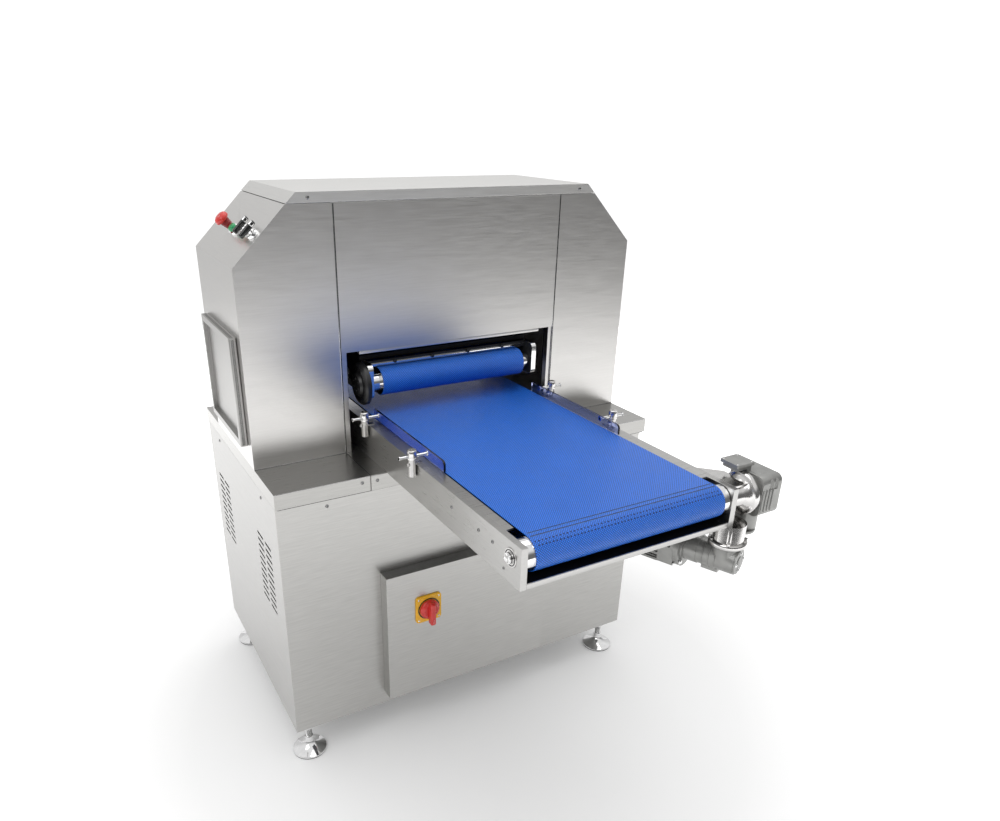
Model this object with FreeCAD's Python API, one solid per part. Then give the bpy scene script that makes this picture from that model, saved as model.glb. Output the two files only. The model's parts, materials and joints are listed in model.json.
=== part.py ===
"""Through-feed meat injector on a levelled cabinet: millimetres, +Z up, the infeed end faces -Y.

The origin is on the floor, under the middle of the overall width and length.
"""
import FreeCAD, Part
import math
import os
from FreeCAD import Vector as V

# ---- driving dimensions -------------------------------------------------------------
WIDTH = 1234.0            # ledge and hood, side to side
CABINET_DEPTH = 738.0
LEDGE_DEPTH = 750.0
FRONT_REACH = 697.0       # foremost point, the lower drive ring, ahead of the cabinet
REAR_REACH = 790.0        # outfeed end, behind the cabinet's front
FRONT = (FRONT_REACH - REAR_REACH) / 2  # y of the cabinet's front skin
LEDGE_Z = 904.0
FLANGE = 44.0             # height of the ledge's folded edge
CABINET_Z = 117.0         # underside of the cabinet
CABINET_RIGHT = 598.0
SHEET = 2.5
TUBE = 40.0
SEAM_GAP = 1.5            # open line between neighbouring sheets

HOOD_FRONT = FRONT + 174.0
HOOD_BACK = FRONT + 581.0
HOOD_TOP = 1612.0
CHAMFER = 171.0
ROOF_FOLD = 27.0          # height of the roof's folded edge
SEAM_X = 350.0            # seams beside the centre panel
MOUTH_X = 334.0
MOUTH_Z = 1197.0

DOOR_LEFT, DOOR_RIGHT = -332.0, 224.0
DOOR_LOW, DOOR_HIGH = 161.0, 591.0
DOOR_DEPTH = 42.0
HATCH_FRONT, HATCH_BACK = FRONT + 210.0, FRONT + 526.0
HATCH_LOW, HATCH_HIGH = 964.0, 1262.0
HATCH_DEPTH = 20.0
HATCH_RIM = 17.0
HATCHWAY_INSET = 25.0

PLATE_X = 304.0           # outer face of the conveyor's side plates
PLATE_THICK = 16.0
PLATE_TOP = 1003.7
RAIL_THICK = 5.0
CONVEYOR_FRONT = FRONT - 670.0
CONVEYOR_BACK = FRONT + REAR_REACH
BELT_X = 265.5
BELT_THICK = 2.5
BELT_R = 40.0             # outside of the belt round a pulley
HEAD_Y, TAIL_Y = FRONT - 631.0, FRONT + 750.0
AXIS_Z = 966.0
SHAFT_R = 12.5
RAIL_FRONT = FRONT - 583.0
GUIDE_X = 268.0
GUIDE_Z = 1006.8
GUIDE_TOP = 1034.0
GUIDE_BACK = FRONT + 150.0
GUIDE_FRONT = FRONT - 273.0
POST_X, POST_R = 314.3, 10.0
POST_YS = (FRONT - 188.0, FRONT + 114.0)
PIN_Z = 1025.0

UPPER_Y, UPPER_BACK_Y = FRONT + 194.0, FRONT + 316.0
UPPER_Z = 1097.0
UPPER_R = 40.0
UPPER_BELT_X = 235.0
UPPER_PLATE_X = 279.0
UPPER_PLATE_THICK = 15.0
UPPER_SHAFT_R = 10.0
CROSS_Y = (FRONT + 225.0, FRONT + 285.0)  # the carriage's cross plate and the beam above it
CROSS_Z = (1156.0, 1168.0)
BEAM_Z = (1280.0, 1330.0)
LIFT_ROD_X, LIFT_ROD_R = 180.0, 10.0

NEEDLE_Y = FRONT + 430.0
COLUMN_X, COLUMN_R = 320.0, 12.0
BRIDGE_Z, BRIDGE_HEIGHT = 1345.0, 40.0
NEEDLE_TIP = 1110.0
NEEDLE_ROWS, NEEDLES_PER_ROW, NEEDLE_PITCH = 3, 15, 30.0
ROW_PITCH = 25.0
NEEDLE_R = 1.6
COLLAR_Z = (1073.0, 1085.0)
STRIPPER_HOLE_R = 4.0
MANIFOLD_X = 235.0
MANIFOLD_Y = (NEEDLE_Y - 45.0, NEEDLE_Y + 45.0)
MANIFOLD_Z = BRIDGE_Z - 45.0
CYLINDER_Z = 1432.0
PISTON_R = 24.7

GAP = 0.3                 # between curved faces that turn past each other
RUNNING = 0.05            # radial clearance of a shaft in its bore

HALF = WIDTH / 2
CABINET_BACK = FRONT + CABINET_DEPTH
LEDGE_BACK = FRONT + LEDGE_DEPTH
FLANGE_Z = LEDGE_Z - FLANGE
ROOF_Z = HOOD_TOP - ROOF_FOLD
SLOPE = 1 / math.sqrt(2)


# ---- shape helpers ------------------------------------------------------------------
def box(x, y, z):
    """A block from three (low, high) pairs."""
    return Part.makeBox(x[1] - x[0], y[1] - y[0], z[1] - z[0], V(x[0], y[0], z[0]))


def rod(radius, start, end):
    """A cylinder between two points."""
    a, b = V(*start), V(*end)
    return Part.makeCylinder(radius, (b - a).Length, a, b - a)


def ring(outer, inner, start, end):
    return rod(outer, start, end).cut(rod(inner, start, end))


def fuse(*shapes):
    whole = shapes[0]
    for shape in shapes[1:]:
        whole = whole.fuse(shape)
    return whole.removeSplitter()


def cut(shape, *tools):
    for tool in tools:
        shape = shape.cut(tool)
    return shape


def group(*shapes):
    """Separate solids that share one node."""
    return Part.makeCompound([solid for shape in shapes for solid in shape.Solids])


def prism(points, direction):
    """Extrude a closed outline of 3-D points."""
    outline = Part.makePolygon([V(*p) for p in points + points[:1]])
    return Part.Face(outline).extrude(V(*direction))


def plan_prism(points, z):
    return prism([(x, y, z[0]) for x, y in points], (0, 0, z[1] - z[0]))


def across_prism(points, y):
    """An outline in x and z, pushed along y."""
    return prism([(x, y[0], z) for x, z in points], (0, y[1] - y[0], 0))


def turned(profile, centre, axis):
    """Revolve a closed (radius, height) outline about an axis through centre."""
    outline = Part.makePolygon([V(r, 0, h) for r, h in profile + profile[:1]])
    solid = Part.Face(outline).revolve(V(0, 0, 0), V(0, 0, 1), 360)
    solid.Placement = FreeCAD.Placement(V(*centre), FreeCAD.Rotation(V(0, 0, 1), V(*axis)))
    return solid


def mirrored(shape):
    return shape.mirror(V(0, 0, 0), V(1, 0, 0))


def both_sides(shape):
    return group(shape, mirrored(shape))


def rounded(shape, radius, along):
    """Fillet the straight edges that run along one axis."""
    edges = [edge for edge in shape.Edges if abs(edge.tangentAt(edge.FirstParameter).dot(V(*along))) > 0.999]
    return shape.makeFillet(radius, edges)


def stadium(radius, y, z, x):
    """A loop outline round two parallel axes, pushed along x."""
    front, back = y
    body = box(x, (front, back), (z - radius, z + radius))
    ends = [rod(radius, (x[0], at, z), (x[1], at, z)) for at in (front, back)]
    return fuse(body, *ends)


def save(name, shape):
    solids = shape.Solids
    if not solids or not all(solid.isValid() for solid in solids):
        raise ValueError("bad solid in " + name)
    shape.exportStep(os.path.join("parts", name + ".step"))


# ---- base cabinet -------------------------------------------------------------------
def base_frame():
    left, right = -HALF + SHEET, CABINET_RIGHT - SHEET
    front, back = FRONT + SHEET, CABINET_BACK - SHEET
    low, high = CABINET_Z + SHEET, LEDGE_Z - SHEET
    xs = ((left, left + TUBE), (right - TUBE, right))
    ys = ((front, front + TUBE), (back - TUBE, back))
    bars = [box(x, y, (low, high)) for x in xs for y in ys]
    for z in ((low, low + TUBE), (high - TUBE, high)):
        bars += [box((left, right), y, z) for y in ys]
        bars += [box(x, (front, back), z) for x in xs]
    return fuse(*bars)


DOORWAY_INSET = 32.0


def base_front_panel():
    """The front skin with its doorway; its top left corner stops inside the folded ledge."""
    through = (FRONT - 1, FRONT + SHEET + 1)
    panel = box((-HALF, CABINET_RIGHT), (FRONT, FRONT + SHEET), (CABINET_Z, LEDGE_Z - SHEET))
    doorway = box((DOOR_LEFT + DOORWAY_INSET, DOOR_RIGHT - DOORWAY_INSET), through,
                  (DOOR_LOW + DOORWAY_INSET, DOOR_HIGH - DOORWAY_INSET))
    corner = box((-HALF - 1, -HALF + SHEET), through, (FLANGE_Z, LEDGE_Z))
    return cut(panel, doorway, corner)


VENT_COLUMNS = (FRONT + 115.0, FRONT + 190.0, FRONT + 573.0, FRONT + 645.0)
VENT_ROWS, VENT_PITCH, VENT_LOW = 11, 20.7, 485.0
VENT_LENGTH, VENT_HEIGHT = 58.0, 8.0


def base_left_cover():
    cover = box((-HALF, -HALF + SHEET), (FRONT + SHEET, CABINET_BACK), (CABINET_Z, FLANGE_Z))
    for y in VENT_COLUMNS:
        for row in range(VENT_ROWS):
            z = VENT_LOW + row * VENT_PITCH
            cover = cover.cut(box((-HALF - 1, -HALF + SHEET + 1), (y - VENT_LENGTH / 2, y + VENT_LENGTH / 2),
                                  (z, z + VENT_HEIGHT)))
    return cover


def base_right_cover():
    return box((CABINET_RIGHT - SHEET, CABINET_RIGHT), (FRONT + SHEET, CABINET_BACK),
               (CABINET_Z, LEDGE_Z - SHEET))


def base_rear_panel():
    return box((-HALF + SHEET, CABINET_RIGHT - SHEET), (CABINET_BACK - SHEET, CABINET_BACK),
               (CABINET_Z + SHEET, LEDGE_Z - SHEET))


def base_floor():
    return box((-HALF + SHEET, CABINET_RIGHT - SHEET), (FRONT + SHEET, CABINET_BACK),
               (CABINET_Z, CABINET_Z + SHEET))


def ledge_side():
    """The left ledge: a top skin folded down along its front, outer side and back."""
    outer = box((-HALF, -SEAM_X - SEAM_GAP), (FRONT - SHEET, LEDGE_BACK), (FLANGE_Z, LEDGE_Z))
    inner = box((-HALF + SHEET, -SEAM_X), (FRONT, LEDGE_BACK - SHEET), (FLANGE_Z - 1, LEDGE_Z - SHEET))
    return outer.cut(inner)


def ledge_centre():
    proud = 2 * SHEET
    outer = box((-SEAM_X, SEAM_X), (FRONT - proud, LEDGE_BACK), (FLANGE_Z, LEDGE_Z))
    inner = box((-SEAM_X - 1, SEAM_X + 1), (FRONT, LEDGE_BACK - SHEET), (FLANGE_Z - 1, LEDGE_Z - SHEET))
    return outer.cut(inner)


FOOT_SPOTS = [(x, FRONT + y) for x in (-570.0, 550.0) for y in (46.0, 690.0)]
FOOT_R, FOOT_STEM_R, FOOT_NUT_R = 52.0, 10.0, 17.0


def levelling_foot(x, y):
    """A polished cone on a flat pad, a threaded stem and its lock nut."""
    cone = [(0, 0), (FOOT_R, 0), (FOOT_R, 5), (FOOT_R - 3, 8), (18, 30), (13, 36), (13, 52), (0, 52)]
    stem = rod(FOOT_STEM_R, (x, y, 52), (x, y, CABINET_Z))
    nut = rod(FOOT_NUT_R, (x, y, 92), (x, y, 108))
    return fuse(turned(cone, (x, y, 0), (0, 0, 1)), stem, nut)


# ---- hinges -------------------------------------------------------------------------
KNUCKLE_R, PIN_R, KNUCKLE = 5.5, 3.0, 26.0


def fixed_knuckle(x, y, z):
    """The lower knuckle with its pin standing up through the moving one."""
    return fuse(rod(KNUCKLE_R, (x, y, z), (x, y, z + KNUCKLE)),
                rod(PIN_R, (x, y, z), (x, y, z + 2 * KNUCKLE)))


def moving_knuckle(x, y, z):
    low = z + KNUCKLE + GAP
    return ring(KNUCKLE_R, PIN_R + RUNNING, (x, y, low), (x, y, z + 2 * KNUCKLE))


DOOR_AXIS = (DOOR_RIGHT + 7, FRONT - 7)
DOOR_HINGE_ZS = (DOOR_LOW + 60, DOOR_HIGH - 110)
HATCH_AXIS = (-HALF - 7, HATCH_BACK + 7)
HATCH_HINGE_ZS = (HATCH_LOW + 30, HATCH_HIGH - 80)


def door_hinges():
    x, y = DOOR_AXIS
    leaves = []
    for z in DOOR_HINGE_ZS:
        leaf = box((x - 1, x + 22), (FRONT - 2, FRONT), (z, z + KNUCKLE))
        neck = box((x - 2, x + 2), (y, FRONT), (z, z + KNUCKLE))
        leaves.append(fuse(fixed_knuckle(x, y, z), neck, leaf))
    return group(*leaves)


def hatch_hinges():
    x, y = HATCH_AXIS
    leaves = []
    for z in HATCH_HINGE_ZS:
        leaf = box((-HALF - 2, -HALF), (y - 1, y + 18), (z, z + KNUCKLE))
        neck = box((x, -HALF), (y - 2, y + 2), (z, z + KNUCKLE))
        leaves.append(fuse(fixed_knuckle(x, y, z), neck, leaf))
    return group(*leaves)


def lower_door():
    """A folded box lid that covers the cabinet's front opening."""
    front = FRONT - DOOR_DEPTH
    outer = box((DOOR_LEFT, DOOR_RIGHT), (front, FRONT - 0.5), (DOOR_LOW, DOOR_HIGH))
    inner = box((DOOR_LEFT + SHEET, DOOR_RIGHT - SHEET), (front + SHEET, FRONT),
                (DOOR_LOW + SHEET, DOOR_HIGH - SHEET))
    lid = outer.cut(inner)
    x, y = DOOR_AXIS
    for z in DOOR_HINGE_ZS:
        low, high = z + KNUCKLE + GAP, z + 2 * KNUCKLE
        leaf = box((DOOR_RIGHT - SHEET, x - PIN_R - 1), (y - 2, y + 2), (low, high))
        lid = fuse(lid, moving_knuckle(x, y, z), leaf)
    return lid.cut(rod(SWITCH_STEM_R + RUNNING, (SWITCH_X, front - 1, SWITCH_Z),
                       (SWITCH_X, front + SHEET + 1, SWITCH_Z)))


# ---- main switch --------------------------------------------------------------------
SWITCH_X, SWITCH_Z = -200.0, 456.0
SWITCH_STEM_R = 6.0


def switch_plate():
    face = FRONT - DOOR_DEPTH
    plate = box((SWITCH_X - 42, SWITCH_X + 42), (face - 6, face), (SWITCH_Z - 45, SWITCH_Z + 45))
    plate = rounded(plate, 11, (0, 1, 0))
    return plate.cut(rod(SWITCH_STEM_R + RUNNING, (SWITCH_X, face - 7, SWITCH_Z),
                         (SWITCH_X, face + 1, SWITCH_Z)))


def switch_knob():
    """A round hand wheel with a raised bar, on the stem that goes through the door."""
    face = FRONT - DOOR_DEPTH - 6
    disc = rod(31, (SWITCH_X, face - 16, SWITCH_Z), (SWITCH_X, face - 0.5, SWITCH_Z))
    bar = rounded(box((SWITCH_X - 9, SWITCH_X + 9), (face - 34, face - 12), (SWITCH_Z - 43, SWITCH_Z + 31)),
                  6, (0, 1, 0))
    stem = rod(SWITCH_STEM_R, (SWITCH_X, face - 1, SWITCH_Z), (SWITCH_X, face + 26, SWITCH_Z))
    return fuse(disc, bar, stem)


# ---- hood ---------------------------------------------------------------------------
def hood_outline(inset, low):
    """The hood's front outline below the roof seam, left half, from the seam outwards."""
    edge = HALF - inset
    turn = HOOD_TOP - CHAMFER - inset * (math.sqrt(2) - 1)
    rise = ROOF_Z - turn
    seam = -SEAM_X - SEAM_GAP / 2
    return [(seam, low), (-edge, low), (-edge, turn), (-edge + rise, ROOF_Z), (seam, ROOF_Z)]


def hood_shell():
    """Left side of the hood: front panel, side, sloping shoulder and the hatch opening."""
    outer = across_prism(hood_outline(0, LEDGE_Z), (HOOD_FRONT, HOOD_BACK))
    hollow = across_prism(hood_outline(SHEET, LEDGE_Z - 1), (HOOD_FRONT + SHEET, HOOD_BACK + 1))
    top = box((-HALF, 0), (HOOD_FRONT + SHEET, HOOD_BACK + 1), (ROOF_Z - 0.5, ROOF_Z + 1))
    inner_side = box((-SEAM_X - 1, 0), (HOOD_FRONT + SHEET, HOOD_BACK + 1), (LEDGE_Z - 1, ROOF_Z + 1))
    hatchway = box((-HALF - 1, -HALF + SHEET + 1),
                   (HATCH_FRONT + HATCHWAY_INSET, HATCH_BACK - HATCHWAY_INSET),
                   (HATCH_LOW + HATCHWAY_INSET, HATCH_HIGH - HATCHWAY_INSET))
    return cut(outer, hollow, top, inner_side, hatchway)


def hood_left_shell():
    shell = hood_shell()
    for spot in CONTROLS:
        shell = shell.cut(on_shoulder_rod(CONTROL_HOLE_R, spot, -4, 1))
    return shell


def hood_centre_panel():
    half = SEAM_X - SEAM_GAP / 2
    return box((-half, half), (HOOD_FRONT, HOOD_FRONT + SHEET), (MOUTH_Z, ROOF_Z))


def hood_roof():
    inset = CHAMFER - ROOF_FOLD
    outline = [(-HALF + inset, ROOF_Z + 1), (-HALF + CHAMFER, HOOD_TOP), (HALF - CHAMFER, HOOD_TOP),
               (HALF - inset, ROOF_Z + 1)]
    inner = [(x + (SHEET if x < 0 else -SHEET) * 1.6, z - SHEET) for x, z in outline]
    outer = across_prism(outline, (HOOD_FRONT, HOOD_BACK))
    return outer.cut(across_prism(inner, (HOOD_FRONT + SHEET, HOOD_BACK - SHEET)))


def hood_rear_panel():
    back = (HOOD_BACK - SHEET, HOOD_BACK)
    left = hood_outline(SHEET, LEDGE_Z)
    panel = across_prism(left[1:4] + [(-x, z) for x, z in left[3:0:-1]], back)
    outlet = box((-MOUTH_X, MOUTH_X), (back[0] - 1, back[1] + 1), (LEDGE_Z - 1, MOUTH_Z))
    return panel.cut(outlet)


def mouth_jamb():
    return box((-SEAM_X, -MOUTH_X), (HOOD_FRONT + SHEET, HOOD_FRONT + 22), (LEDGE_Z, ROOF_Z))


LIP_X = 297.0


def mouth_header():
    """The header between the jambs; only its narrower lip shows under the centre panel."""
    y = (HOOD_FRONT + 6, HOOD_FRONT + 18)
    header = box((-MOUTH_X, MOUTH_X), y, (MOUTH_Z + 1, MOUTH_Z + 30))
    lip = box((-LIP_X, LIP_X), y, (MOUTH_Z - 9, MOUTH_Z + 1))
    return fuse(header, lip)


def splash_baffle():
    """A dark plate between the hold-down and the needles, on two stays from the hold-down beam."""
    plate = box((-MOUTH_X, MOUTH_X), (FRONT + 364, FRONT + 368), (1072, 1318))
    stays = [box((x, x + 20), (CROSS_Y[1], FRONT + 364), (1298, 1318)) for x in (-270, 250)]
    return fuse(plate, *stays)


FRAME_X = (360.0, 400.0)
FRAME_TOP = HOOD_TOP - SHEET
LIFT_BAR_Z = FRAME_TOP - 28  # underside of the bar that carries the lift cylinder


def hood_frame():
    ys = ((FRONT + 198, FRONT + 238), (FRONT + 536, FRONT + 576))
    post = [box((-FRAME_X[1], -FRAME_X[0]), y, (LEDGE_Z, FRAME_TOP)) for y in ys]
    bars = post + [mirrored(p) for p in post]
    bars += [box((-FRAME_X[1], FRAME_X[1]), y, (FRAME_TOP - TUBE, FRAME_TOP)) for y in ys]
    side = box((-FRAME_X[1], -FRAME_X[0]), (ys[0][0], ys[1][1]), (FRAME_TOP - TUBE, FRAME_TOP))
    lift = box((-FRAME_X[1], FRAME_X[1]), (NEEDLE_Y - 30, NEEDLE_Y + 30), (LIFT_BAR_Z, FRAME_TOP))
    return fuse(*bars, side, mirrored(side), lift, hold_down_beam())


def side_hatch():
    """A raised rim round a recessed panel, hung on the hood's side."""
    x_out, x_in = -HALF - HATCH_DEPTH, -HALF - 0.5
    outline = (HATCH_FRONT, HATCH_BACK), (HATCH_LOW, HATCH_HIGH)
    outer = box((x_out, x_in), *outline)
    outer = rounded(outer, 3, (0, 0, 1))
    pocket = box((x_out - 1, x_in - SHEET - 4), (HATCH_FRONT + HATCH_RIM, HATCH_BACK - HATCH_RIM),
                 (HATCH_LOW + HATCH_RIM, HATCH_HIGH - HATCH_RIM))
    back_pocket = box((x_in - 4, x_in + 1), (HATCH_FRONT + 3, HATCH_BACK - 3),
                      (HATCH_LOW + 3, HATCH_HIGH - 3))
    hatch = cut(outer, pocket, back_pocket)
    x, y = HATCH_AXIS
    for z in HATCH_HINGE_ZS:
        low, high = z + KNUCKLE + GAP, z + 2 * KNUCKLE
        leaf = box((x - 2, x + 2), (HATCH_BACK - SHEET, y - PIN_R - 1), (low, high))
        hatch = fuse(hatch, moving_knuckle(x, y, z), leaf)
    return hatch


# ---- controls on the left shoulder ---------------------------------------------------
# each control's y, and how far up the slope from its lower edge
E_STOP, START = (FRONT + 395.0, 93.0), (FRONT + 343.0, 90.0)
SELECTOR_1, SELECTOR_2 = (FRONT + 277.0, 103.0), (FRONT + 208.0, 99.0)
CONTROLS = (E_STOP, START, SELECTOR_1, SELECTOR_2)
CONTROL_HOLE_R = 11.2
OUTWARD = V(-SLOPE, 0, SLOPE)


def shoulder_point(spot, height):
    """A point above a control's centre; heights are measured square to the slope."""
    y, rise = spot
    base_x = -HALF + rise * SLOPE
    base_z = HOOD_TOP - CHAMFER + rise * SLOPE
    return (base_x - height * SLOPE, y, base_z + height * SLOPE)


def on_shoulder_rod(radius, spot, low, high):
    return rod(radius, shoulder_point(spot, low), shoulder_point(spot, high))


def on_shoulder_turned(profile, spot):
    return turned(profile, shoulder_point(spot, 0), (OUTWARD.x, 0, OUTWARD.z))


def e_stop_bezel():
    return on_shoulder_rod(17, E_STOP, 0, 4).cut(on_shoulder_rod(9 + RUNNING, E_STOP, -1, 5))


def e_stop_stem():
    """The latching stem: it slides through the bezel and carries the mushroom head."""
    profile = [(0, -24), (9, -24), (9, 14), (13, 16), (13, 30), (5, 30), (5, 38), (0, 38)]
    return on_shoulder_turned(profile, E_STOP)


def e_stop_head():
    cap = [(0, 30.3), (15, 30.3), (20, 34), (20, 41), (17, 46), (10, 49), (0, 50)]
    return on_shoulder_turned(cap, E_STOP).cut(on_shoulder_rod(5 + RUNNING, E_STOP, 29, 38.3))


def button_bezel(spot):
    inner = 9 + RUNNING
    return on_shoulder_turned([(inner, 0), (16, 0), (16, 5), (13.5, 9), (inner, 9)], spot)


def start_button():
    return on_shoulder_turned([(0, -20), (9, -20), (9, 12), (11.5, 12), (11.5, 20), (9, 22), (0, 22)], START)


def selector_knob(spot):
    """A round boss with a long lever across it, in line with the slope at rest."""
    boss = on_shoulder_turned([(0, -20), (9, -20), (9, 9.5), (12, 9.5), (12, 16), (0, 16)], spot)
    lever = rounded(box((-5.5, 5.5), (-26, 26), (15, 29)), 5, (0, 0, 1))
    lever.Placement = FreeCAD.Placement(V(*shoulder_point(spot, 0)), FreeCAD.Rotation(V(0, 1, 0), -45))
    lever.rotate(V(*shoulder_point(spot, 0)), OUTWARD, 90)
    return fuse(boss, lever)


def contact_block(spot):
    """The switch body behind the panel, with a bore for the moving stem."""
    block = on_shoulder_rod(15, spot, -44, -SHEET)
    return block.cut(on_shoulder_rod(10.5, spot, -40, 0))


# ---- lower conveyor -----------------------------------------------------------------
PLATE_Y = (CONVEYOR_FRONT, CONVEYOR_BACK)
BEARING_R = 22.0


def side_plate():
    """Left side plate with its two bearing seats."""
    plate = box((-PLATE_X, -PLATE_X + PLATE_THICK), PLATE_Y, (LEDGE_Z, PLATE_TOP))
    seats = [rod(BEARING_R, (-PLATE_X - 1, y, AXIS_Z), (-PLATE_X + PLATE_THICK + 1, y, AXIS_Z))
             for y in (HEAD_Y, TAIL_Y)]
    return cut(plate, *seats)


def pulley_bearing(y):
    x_in = -PLATE_X + PLATE_THICK
    return ring(BEARING_R, SHAFT_R + RUNNING, (-PLATE_X - 2, y, AXIS_Z), (x_in, y, AXIS_Z))


def top_rail():
    return box((-PLATE_X + PLATE_THICK, -BELT_X - 2.5), (RAIL_FRONT, CONVEYOR_BACK - 80),
               (PLATE_TOP - RAIL_THICK, PLATE_TOP))


DRUM_WALL = 5.0


def pulley(y, x_low, x_high):
    """A hollow drum with stepped ends on its through shaft."""
    inner = BELT_R - BELT_THICK - GAP
    edge = PLATE_X - PLATE_THICK - 2
    drum = rod(inner, (-BELT_X - 1, y, AXIS_Z), (BELT_X + 1, y, AXIS_Z))
    ends = rod(inner - 1.5, (-edge, y, AXIS_Z), (edge, y, AXIS_Z))
    hollow = rod(inner - DRUM_WALL, (-BELT_X + 6, y, AXIS_Z), (BELT_X - 6, y, AXIS_Z))
    return fuse(fuse(drum, ends).cut(hollow), rod(SHAFT_R, (x_low, y, AXIS_Z), (x_high, y, AXIS_Z)))


def conveyor_belt():
    x = (-BELT_X, BELT_X)
    ys = (HEAD_Y, TAIL_Y)
    return stadium(BELT_R, ys, AXIS_Z, x).cut(stadium(BELT_R - BELT_THICK, ys, AXIS_Z, (x[0] - 1, x[1] + 1)))


BED_TUBES, BED_TUBE = 5, 30.0


def slider_bed():
    """The plate that carries the top run, on cross tubes that fit under the rails."""
    top, tube_top = AXIS_Z + BELT_R - BELT_THICK - GAP, PLATE_TOP - RAIL_THICK
    front, back = HEAD_Y + 50, TAIL_Y - 50
    first, last = front + 40, back - 70
    shapes = [box((-BELT_X + 3, BELT_X - 3), (front, back), (tube_top, top))]
    for i in range(BED_TUBES):
        y = first + i * (last - first) / (BED_TUBES - 1)
        shapes.append(box((-PLATE_X + PLATE_THICK, PLATE_X - PLATE_THICK), (y, y + BED_TUBE),
                          (tube_top - BED_TUBE, tube_top)))
    return fuse(*shapes)


def drip_tray():
    x = (-PLATE_X + PLATE_THICK, PLATE_X - PLATE_THICK)
    floor = box(x, (CONVEYOR_FRONT + 1, FRONT - 2 * SHEET), (LEDGE_Z, LEDGE_Z + 2))
    lip = box(x, (CONVEYOR_FRONT + 1, CONVEYOR_FRONT + 4), (LEDGE_Z, LEDGE_Z + 13))
    return fuse(floor, lip)


def guide_strip():
    """The left clear guide, with a rounded leading corner."""
    strip = box((-GUIDE_X - 3, -GUIDE_X + 3), (GUIDE_FRONT, GUIDE_BACK), (GUIDE_Z, GUIDE_TOP))
    corner = [edge for edge in strip.Edges
              if abs(edge.CenterOfMass.y - GUIDE_FRONT) < 0.1 and abs(edge.CenterOfMass.z - GUIDE_TOP) < 0.1]
    return strip.makeFillet(12, corner)


def guide_pins():
    """The two cross pins that carry the left guide and slide through the posts."""
    return group(*[rod(4, (-POST_X - 36, y, PIN_Z), (-GUIDE_X - 3, y, PIN_Z)) for y in POST_YS])


def guide_post(y):
    """A round post against the side plate, cross-drilled for the guide's pin."""
    low, high = 972.0, 1040.0
    post = rod(POST_R, (-POST_X, y, low), (-POST_X, y, high))
    head = rod(POST_R + 2, (-POST_X, y, high - 20), (-POST_X, y, high))
    saddle = box((-PLATE_X, -PLATE_X + PLATE_THICK), (y - 7, y + 7), (PLATE_TOP, PLATE_TOP + 3))
    bridge = box((-POST_X, -PLATE_X + 3), (y - 7, y + 7), (PLATE_TOP, PLATE_TOP + 3))
    bore = rod(4 + RUNNING, (-POST_X - 20, y, PIN_Z), (-POST_X + 20, y, PIN_Z))
    body = fuse(post, head, saddle, bridge)
    plate = box((-PLATE_X, 0), (y - 30, y + 30), (LEDGE_Z, PLATE_TOP))
    return cut(body, plate, bore)


# ---- hold-down unit in the mouth ------------------------------------------------------
CROSS_MID = sum(CROSS_Y) / 2


def hold_down_plates():
    """Two side plates, a cross plate and two guide rods, made as one carriage."""
    ys, zs = (FRONT + 158, FRONT + 352), (1059.0, 1156.0)
    left = box((-UPPER_PLATE_X, -UPPER_PLATE_X + UPPER_PLATE_THICK), ys, zs)
    left = rounded(left, 16, (1, 0, 0))
    for y in (UPPER_Y, UPPER_BACK_Y):
        left = left.cut(rod(UPPER_SHAFT_R + RUNNING, (-UPPER_PLATE_X - 1, y, UPPER_Z),
                            (-UPPER_PLATE_X + UPPER_PLATE_THICK + 1, y, UPPER_Z)))
    cross = box((-UPPER_PLATE_X, UPPER_PLATE_X), CROSS_Y, CROSS_Z)
    rods = [rod(LIFT_ROD_R, (x, CROSS_MID, CROSS_Z[1] - 2), (x, CROSS_MID, BEAM_Z[1] + 90))
            for x in (-LIFT_ROD_X, LIFT_ROD_X)]
    return fuse(left, mirrored(left), cross, *rods)


def hold_down_beam():
    """The fixed beam whose bushes guide the carriage's two rods."""
    beam = box((-FRAME_X[0], FRAME_X[0]), CROSS_Y, BEAM_Z)
    for x in (-LIFT_ROD_X, LIFT_ROD_X):
        beam = beam.cut(rod(LIFT_ROD_R + RUNNING, (x, CROSS_MID, BEAM_Z[0] - 1),
                            (x, CROSS_MID, BEAM_Z[1] + 1)))
    return beam


def upper_roller(y, x_low):
    inner = UPPER_R - BELT_THICK - GAP
    drum = rod(inner, (-UPPER_BELT_X - 1, y, UPPER_Z), (UPPER_BELT_X + 1, y, UPPER_Z))
    edge = UPPER_PLATE_X - UPPER_PLATE_THICK - 2
    ends = rod(25, (-edge, y, UPPER_Z), (edge, y, UPPER_Z))
    hollow = rod(inner - DRUM_WALL, (-UPPER_BELT_X + 6, y, UPPER_Z), (UPPER_BELT_X - 6, y, UPPER_Z))
    shaft = rod(UPPER_SHAFT_R, (x_low, y, UPPER_Z), (UPPER_PLATE_X + 4, y, UPPER_Z))
    return fuse(fuse(drum, ends).cut(hollow), shaft)


def hold_down_belt():
    ys, x = (UPPER_Y, UPPER_BACK_Y), (-UPPER_BELT_X, UPPER_BELT_X)
    return stadium(UPPER_R, ys, UPPER_Z, x).cut(
        stadium(UPPER_R - BELT_THICK, ys, UPPER_Z, (x[0] - 1, x[1] + 1)))


def scraper_bar():
    x = UPPER_PLATE_X - UPPER_PLATE_THICK
    front = UPPER_Y + 8
    bar = box((-x, x), (front, front + 6), (UPPER_Z + UPPER_R + 2, CROSS_Z[0]))
    heads = [rod(4.5, (at, front - 4, 1149), (at, front, 1149)) for at in (-180, -60, 60, 180)]
    return fuse(bar, *heads)


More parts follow.
